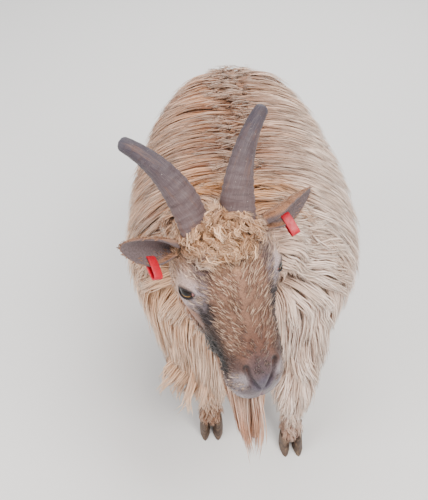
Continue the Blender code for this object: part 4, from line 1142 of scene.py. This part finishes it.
def poll_heading(place, out):
    """Round each of two domes: out at the top, then down and in to the middle of the brow."""
    local = head_place(place)
    side = math.copysign(1.0, local.x)
    return along_face * 0.9 + across_face * side * (0.022 - local.y) * 32


def poll_lift(root, normal):
    local = head_place(Vector(root))
    return 0.005 + 0.010 * bump_at(abs(local.x), 0.022, 0.016) * bump_at(local.y, 0.016, 0.026)


def cheek_length(root, normal):
    return 0.022 + 0.030 * clamped((-0.05 - head_place(Vector(root)).z) / 0.04)


def beard_heading(place, out):
    return Vector((0, 0, -1)) - across_face * head_place(place).x * 3.5 + along_face * 0.06


def ear_heading(place, out):
    return ear_frame("left" if head_place(place).x > 0 else "right")[1]


eye_gaps = [np.linalg.norm(face_centres - np.array(eye_centres[side]), axis=1) for side in MIRROR]
furry = on_head & (np.minimum(*eye_gaps) > 0.0185) & (face_along < 0.206)
folded = np.stack([face_across, face_along, face_out], 1)
nostril_gaps = [np.linalg.norm(folded - np.array(point), axis=1) for point in nostril_points]
furry &= (np.min(nostril_gaps, axis=0) > 0.010) & ~((face_along > 0.190) & (face_across < 0.014))
coat(
    "coat_face", *scatter(furry, 175000), face_heading, face_length, 0.0020, 0.0012, head_unwrap,
    short_hair, wisp=7, gather=0.4, bend=0.3, rings=3, thick=0.4,
)
on_poll = on_head & inside(face_along, -0.014, 0.046) & (face_across < 0.044) & (face_out > -0.014)
coat(
    "coat_forelock", *scatter(on_poll, 330000), poll_heading, 0.026, poll_lift, 0.0019, head_unwrap,
    tuft_hair, wisp=16, gather=0.7, bend=0.9, wave=0.0030, waves=1.3, rings=5, thick=0.5,
)
on_cheek = on_head & (face_out < -0.052) & inside(face_along, -0.015, 0.150)
coat(
    "coat_cheeks", *scatter(on_cheek, 110000), lambda place, out: Vector((0, 0, -1)) - along_face * 0.45,
    cheek_length, 0.008, 0.0019, head_unwrap, long_hair, wisp=12, gather=0.6, bend=0.35, wave=0.0015,
)
on_chin = on_head & (face_out < -0.066) & inside(face_along, 0.122, 0.197) & (face_across < 0.040)
coat(
    "coat_beard", *scatter(on_chin, 230000), beard_heading, 0.148, 0.004, 0.0022, head_unwrap,
    beard_hair, wisp=26, gather=0.8, bend=0.18, wave=0.0016, waves=0.8, rings=6, thick=0.4, twist=0.5,
)
ear_back = np.zeros(len(face_centres), bool)
for side in MIRROR:
    root, axis, lower, opening = ear_frame(side)
    near = (face_centres - np.array(root)) @ np.array(across_face) * MIRROR[side] > 0.0
    ear_back |= near & (face_normals @ np.array(opening) < -0.15)
coat(
    "coat_ears", *scatter(on_ear & ear_back, 190000), ear_heading, 0.008, 0.0011, 0.0011,
    head_unwrap, ear_hair, wisp=8, gather=0.3, bend=0.3, rings=3,
)

# Eyes: glass balls as a taxidermist sets them, with an amber iris under painted shade of the upper lid,
# the level slot of a goat's pupil and a dark rim under a clear front. Each sits in its socket behind the
# lids.
CORNEA_EDGE = 0.72
CORNEA_RISE = 0.0009
PUPIL_SIZE = (0.42, 0.20)
eye_glass, tree = new_material("eye_glass", {
    "Roughness": 0.25, "Coat Weight": 0.5, "Coat IOR": 1.35, "Specular IOR Level": 0.1,
    "Coat Roughness": 0.03,
})
own_place, (along_slot, towards_lid, _) = split(tree, "own_place")
flat_place = shader_node(tree, "CombineXYZ", {0: along_slot, 1: towards_lid}).outputs[0]
around = vector_math(tree, "LENGTH", flat_place)
rays = noise(tree, own_place, 9.0, 4.0, 0.6, (1.0, 1.0, 0.2))
slot = vector_math(tree, "MULTIPLY", flat_place, (1 / PUPIL_SIZE[0], 1 / PUPIL_SIZE[1], 0.0))
in_slot = spread(tree, vector_math(tree, "LENGTH", slot), 0.90, 1.04, 1.0, 0.0)
iris = tint(tree, spread(tree, rays, 0.35, 0.65), paint(120, 84, 46), paint(196, 152, 92))
iris = layered(tree, iris, (
    # Painted shade: the upper part of the iris dark, as in the shade of the upper lid, leaving a lit
    # amber crescent below
    (spread(tree, towards_lid, -0.30, -0.08), 1.0, (34, 24, 20)),
    (spread(tree, around, 0.50, 0.62), 1.0, (30, 22, 20)),
    (in_slot, 1.0, (8, 6, 8)),
))
corner = spread(tree, along_slot, 0.52, 0.68)
white = tint(tree, corner, paint(84, 64, 56), paint(176, 120, 116))
ball_colour = tint(tree, spread(tree, around, 0.62, 0.68), iris, white)
tree.links.new(ball_colour, tree.nodes["Principled BSDF"].inputs["Base Color"])
for side in MIRROR:
    gaze, slit, upper = eye_frame(side)
    ball = bmesh.new()
    bmesh.ops.create_uvsphere(ball, u_segments=64, v_segments=48, radius=EYE_RADIUS)
    for vert in ball.verts:
        off_axis = math.hypot(vert.co.x, vert.co.y) / EYE_RADIUS
        if vert.co.z > 0 and off_axis < CORNEA_EDGE:
            vert.co.z += CORNEA_RISE * (1 - (off_axis / CORNEA_EDGE) ** 2)
    eye = mesh_object(f"eyeball_{side}", ball)
    own = eye.data.attributes.new("own_place", "FLOAT_VECTOR", "POINT")
    own.data.foreach_set("vector", [part / EYE_RADIUS for vert in eye.data.vertices for part in vert.co])
    turn_to_gaze = Matrix((slit, upper, gaze)).transposed().to_4x4()
    eye.data.transform(Matrix.Translation(eye_centres[side]) @ turn_to_gaze)
    if turn_to_gaze.determinant() < 0:
        eye.data.flip_normals()
    eye.data.materials.append(eye_glass)
    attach(eye, "root")
    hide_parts(f"eye_{side}")

# Horns: sheaths of grey-brown horn, grown in low rings round a bony core that holds them to the
# skull. They are scratched and chipped, and darker and smoother towards the blunt tips.
HORN_BASE = (0.026, 0.010, -0.012)
HORN_LENGTH = 0.137
HORN_CAP = 0.0062
HORN_FALL = 1.4
HORN_TURN = math.radians(45)
HORN_STEPS = 120
HORN_SIDES = 40
GROWTH_RINGS = 13
RING_RISE = 0.00042
TIP_START = 0.955
TIP_SHARE = 0.045
# Each at the base and at the tip. The section is flat: its long axis lies to the front and inwards
HORN_LEAN = (math.radians(60), math.radians(92))
HORN_SPREAD = (math.radians(4), math.radians(50))
HORN_RADIUS = (0.0165, 0.0083)
HORN_LONG = (1.30, 1.00)
HORN_NARROW = (0.82, 0.98)


def on_the_way(ends, share):
    return ends[0] + (ends[1] - ends[0]) * share


horn_stuff, tree = new_material("horn_sheath", {"Specular IOR Level": 0.35})
own_place, (_, _, up_horn) = split(tree, "own_place")
fibres = noise(tree, own_place, 6.0, 5.0, 0.65, (9.0, 9.0, 1.6))
blotches = noise(tree, own_place, 3.0, 5.0, 0.6)
bands = noise(tree, own_place, 4.0, 3.0, 0.6, (0.4, 0.4, 9.0))
chips = noise(tree, own_place, 16.0, 4.0, 0.7, (1.0, 1.0, 2.2))
colour = tint(tree, spread(tree, up_horn, 0.15, 0.95), paint(92, 75, 75), paint(56, 51, 60))
colour = layered(tree, colour, (
    (spread(tree, fibres, 0.45, 0.68), 0.6, (116, 101, 100)),
    (spread(tree, bands, 0.48, 0.66), 0.55, (70, 56, 56)),
    (spread(tree, blotches, 0.52, 0.70), 0.4, (122, 88, 72)),
    (spread(tree, chips, 0.66, 0.72), 1.0, (196, 184, 174)),
    (spread(tree, up_horn, 0.92, 1.02), 1.0, (76, 72, 80)),
))
height = number_math(tree, "ADD", product(tree, fibres, 0.5), bands)
height = number_math(tree, "SUBTRACT", height, product(tree, spread(tree, chips, 0.62, 0.72), 0.5))
dress_shader(tree, colour, spread(tree, fibres, 0.3, 0.7, 0.62, 0.42), height, 0.0010, 0.8)
for side, mirror in MIRROR.items():
    centre = head_point(HORN_BASE[0] * mirror, *HORN_BASE[1:])
    rings, own_values = [], []
    wobble = np.random.default_rng(5 + mirror).normal(0, 1, HORN_STEPS + 8)
    for step in range(HORN_STEPS + 1):
        share = step / HORN_STEPS
        lean, lie = on_the_way(HORN_LEAN, share), on_the_way(HORN_SPREAD, share)
        heading = head_direction(
            mirror * math.sin(lie), -math.sin(lean) * math.cos(lie), math.cos(lean) * math.cos(lie)
        )
        growth = share**0.9 * GROWTH_RINGS * 2 * math.pi + 0.6 * wobble[step // 12]
        radius = on_the_way(HORN_RADIUS, share**HORN_FALL)
        radius += RING_RISE * math.cos(growth) * (1 - share) ** 0.7
        front = (along_face - heading * along_face.dot(heading)).normalized()
        outward = front.cross(heading).normalized() * mirror
        long_axis = front * math.sin(HORN_TURN) - outward * math.cos(HORN_TURN)
        long_axis = long_axis * (radius * on_the_way(HORN_LONG, share))
        narrow_axis = front * math.cos(HORN_TURN) + outward * math.sin(HORN_TURN)
        narrow_axis = narrow_axis * (radius * on_the_way(HORN_NARROW, share))
        tip = max(0.0, (share - TIP_START) / TIP_SHARE)
        shrink = math.sqrt(max(1 - tip**2, 0.0)) * 0.999 + 0.001
        row = []
        for turn in turns(HORN_SIDES):
            ridge = 1 + 0.014 * math.cos(turn * 3 + 1) + 0.05 * math.cos(turn) ** 8 * (1 - share)
            around = narrow_axis * math.sin(turn) + long_axis * math.cos(turn)
            row.append(centre + around * ridge * shrink)
            own_values.append((math.sin(turn) * 0.5 + mirror, math.cos(turn) * 0.5, share))
        rings.append(row)
        centre = centre + heading * (HORN_LENGTH + HORN_CAP) / HORN_STEPS
    sheath = bmesh.new()
    add_form(sheath, rings)
    horn = mesh_object(f"horn_sheath_{side}", sheath)
    own = horn.data.attributes.new("own_place", "FLOAT_VECTOR", "POINT")
    own.data.foreach_set("vector", [part for value in own_values for part in value])
    horn.data.materials.append(horn_stuff)
    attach(horn, "root")
    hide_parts(f"horn_{side}")

# Hooves: two claws to a foot, hard dark horn capped over the toes. They are dull and dusty, with
# faint growth lines, and worn round at their edges.
claw_horn, tree = new_material("claw_horn")
where = tree.nodes.new("ShaderNodeTexCoord").outputs["Object"]
growth = noise(tree, where, 60.0, 3.0, 0.5, (0.5, 0.5, 9.0))
dust = noise(tree, where, 130.0, 4.0)
colour = tint(tree, spread(tree, growth, 0.4, 0.65), paint(62, 48, 40), paint(98, 78, 64))
colour = layered(tree, colour, [(spread(tree, dust, 0.5, 0.7), 0.5, (142, 120, 98))])
height = number_math(tree, "ADD", growth, product(tree, dust, 0.3))
dress_shader(tree, colour, spread(tree, dust, 0.4, 0.7, 0.48, 0.78), height, 0.0006)


def rounded_copy(name, node, flat_degrees, sharp, offset, segments):
    """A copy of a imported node's shape with its sharp edges rounded."""
    build = bmesh.new()
    build.from_mesh(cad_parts[node].data)
    bmesh.ops.remove_doubles(build, verts=build.verts, dist=0.00005)
    bmesh.ops.dissolve_limit(
        build, angle_limit=math.radians(flat_degrees), verts=build.verts[:], edges=build.edges[:]
    )
    edges = [edge for edge in build.edges if len(edge.link_faces) == 2 and edge.calc_face_angle() > sharp]
    bmesh.ops.bevel(
        build, geom=edges, offset=offset, segments=segments, profile=0.5, material=-1, affect="EDGES"
    )
    return mesh_object(name, build)


for foot in FEET:
    for label in ("a", "b"):
        piece = rounded_copy(f"claw_{foot}_{label}", f"hoof_{foot}_{label}", 3, 0.6, 0.0012, 3)
        piece.data.materials.append(claw_horn)
        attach(piece, "root")
        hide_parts(f"hoof_{foot}_{label}")

# Ear tags: a soft red plastic strap looped through each ear, moulded in one piece with its two
# leaves pinned together. Both are blank.
tag_plastic, tree = new_material(
    "tag_plastic", {"Subsurface Weight": 0.15, "Subsurface Radius": (0.004, 0.001, 0.001)}
)
where = tree.nodes.new("ShaderNodeTexCoord").outputs["Object"]
soil = noise(tree, where, 220.0, 4.0)
scuffs = noise(tree, where, 900.0, 3.0)
soiled = product(tree, spread(tree, soil, 0.45, 0.70), 0.35)
colour = tint(tree, soiled, paint(188, 12, 40), paint(130, 16, 34))
colour = layered(tree, colour, [(spread(tree, scuffs, 0.62, 0.75), 0.35, (236, 120, 132))])
dress_shader(tree, colour, spread(tree, soil, 0.3, 0.7, 0.34, 0.55), scuffs, 0.0002)
for side in MIRROR:
    piece = rounded_copy(f"strap_{side}", f"tag_{side}", 2, 0.9, 0.0004, 2)
    piece.data.materials.append(tag_plastic)
    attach(piece, "root")
    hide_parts(f"tag_{side}")

# Studio: a plain pale floor, soft light from above and both sides, and the camera at the photo's
# angle.
FLOOR_HALF = 6.0
LIGHT_AIM = Vector((0.0, 0.0, 0.3))
CAMERA_RISE = math.radians(39.3)
CAMERA_ROLL = math.radians(-1.7)
CAMERA_PLACE = Vector((-0.039, -0.970, 1.030))
SENSOR_WIDTH = 36.0
FOCAL_PIXELS = 760.0
FRAME_HEIGHT = 500.0
ground = bmesh.new()
bmesh.ops.create_grid(ground, x_segments=1, y_segments=1, size=FLOOR_HALF)
floor = mesh_object("floor", ground)
floor.data.materials.append(
    new_material("floor_paint", {"Base Color": (0.78, 0.77, 0.75, 1.0), "Roughness": 0.8})[0]
)

world = bpy.data.worlds.new("studio")
bpy.context.scene.world = world
world.use_nodes = True
world.node_tree.nodes["Background"].inputs["Color"].default_value = (0.96, 0.97, 1.0, 1.0)
world.node_tree.nodes["Background"].inputs["Strength"].default_value = 0.85
for name, place, size, power, tone in (
    ("key", (0.9, -1.3, 2.2), 1.4, 80.0, (1.0, 0.965, 0.93)),
    ("fill", (-1.6, -1.0, 1.4), 1.8, 38.0, (1.0, 0.98, 0.97)),
    ("back", (0.3, 1.8, 1.9), 1.6, 44.0, (1.0, 0.99, 0.98)),
):
    lamp = bpy.data.lights.new(name, "AREA")
    lamp.shape = "DISK"
    lamp.size = size
    lamp.energy = power
    lamp.color = tone
    light = bpy.data.objects.new(name, lamp)
    bpy.context.scene.collection.objects.link(light)
    light.location = place
    light.rotation_euler = (LIGHT_AIM - Vector(place)).to_track_quat("-Z", "Y").to_euler()

view_way = Vector((0.0, math.cos(CAMERA_RISE), -math.sin(CAMERA_RISE)))
view_right = Vector((1.0, 0.0, 0.0))
view_up = view_right.cross(view_way)
turned_right = view_right * math.cos(CAMERA_ROLL) + view_up * math.sin(CAMERA_ROLL)
turned_up = view_up * math.cos(CAMERA_ROLL) - view_right * math.sin(CAMERA_ROLL)
camera = bpy.data.objects.new("camera", bpy.data.cameras.new("camera"))
bpy.context.scene.collection.objects.link(camera)
axes = Matrix((turned_right, turned_up, -view_way)).transposed().to_4x4()
camera.matrix_world = Matrix.Translation(CAMERA_PLACE + body_shift) @ axes
camera.data.sensor_width = SENSOR_WIDTH
camera.data.lens = SENSOR_WIDTH * FOCAL_PIXELS / FRAME_HEIGHT
camera.data.clip_start = 0.01
bpy.context.scene.camera = camera
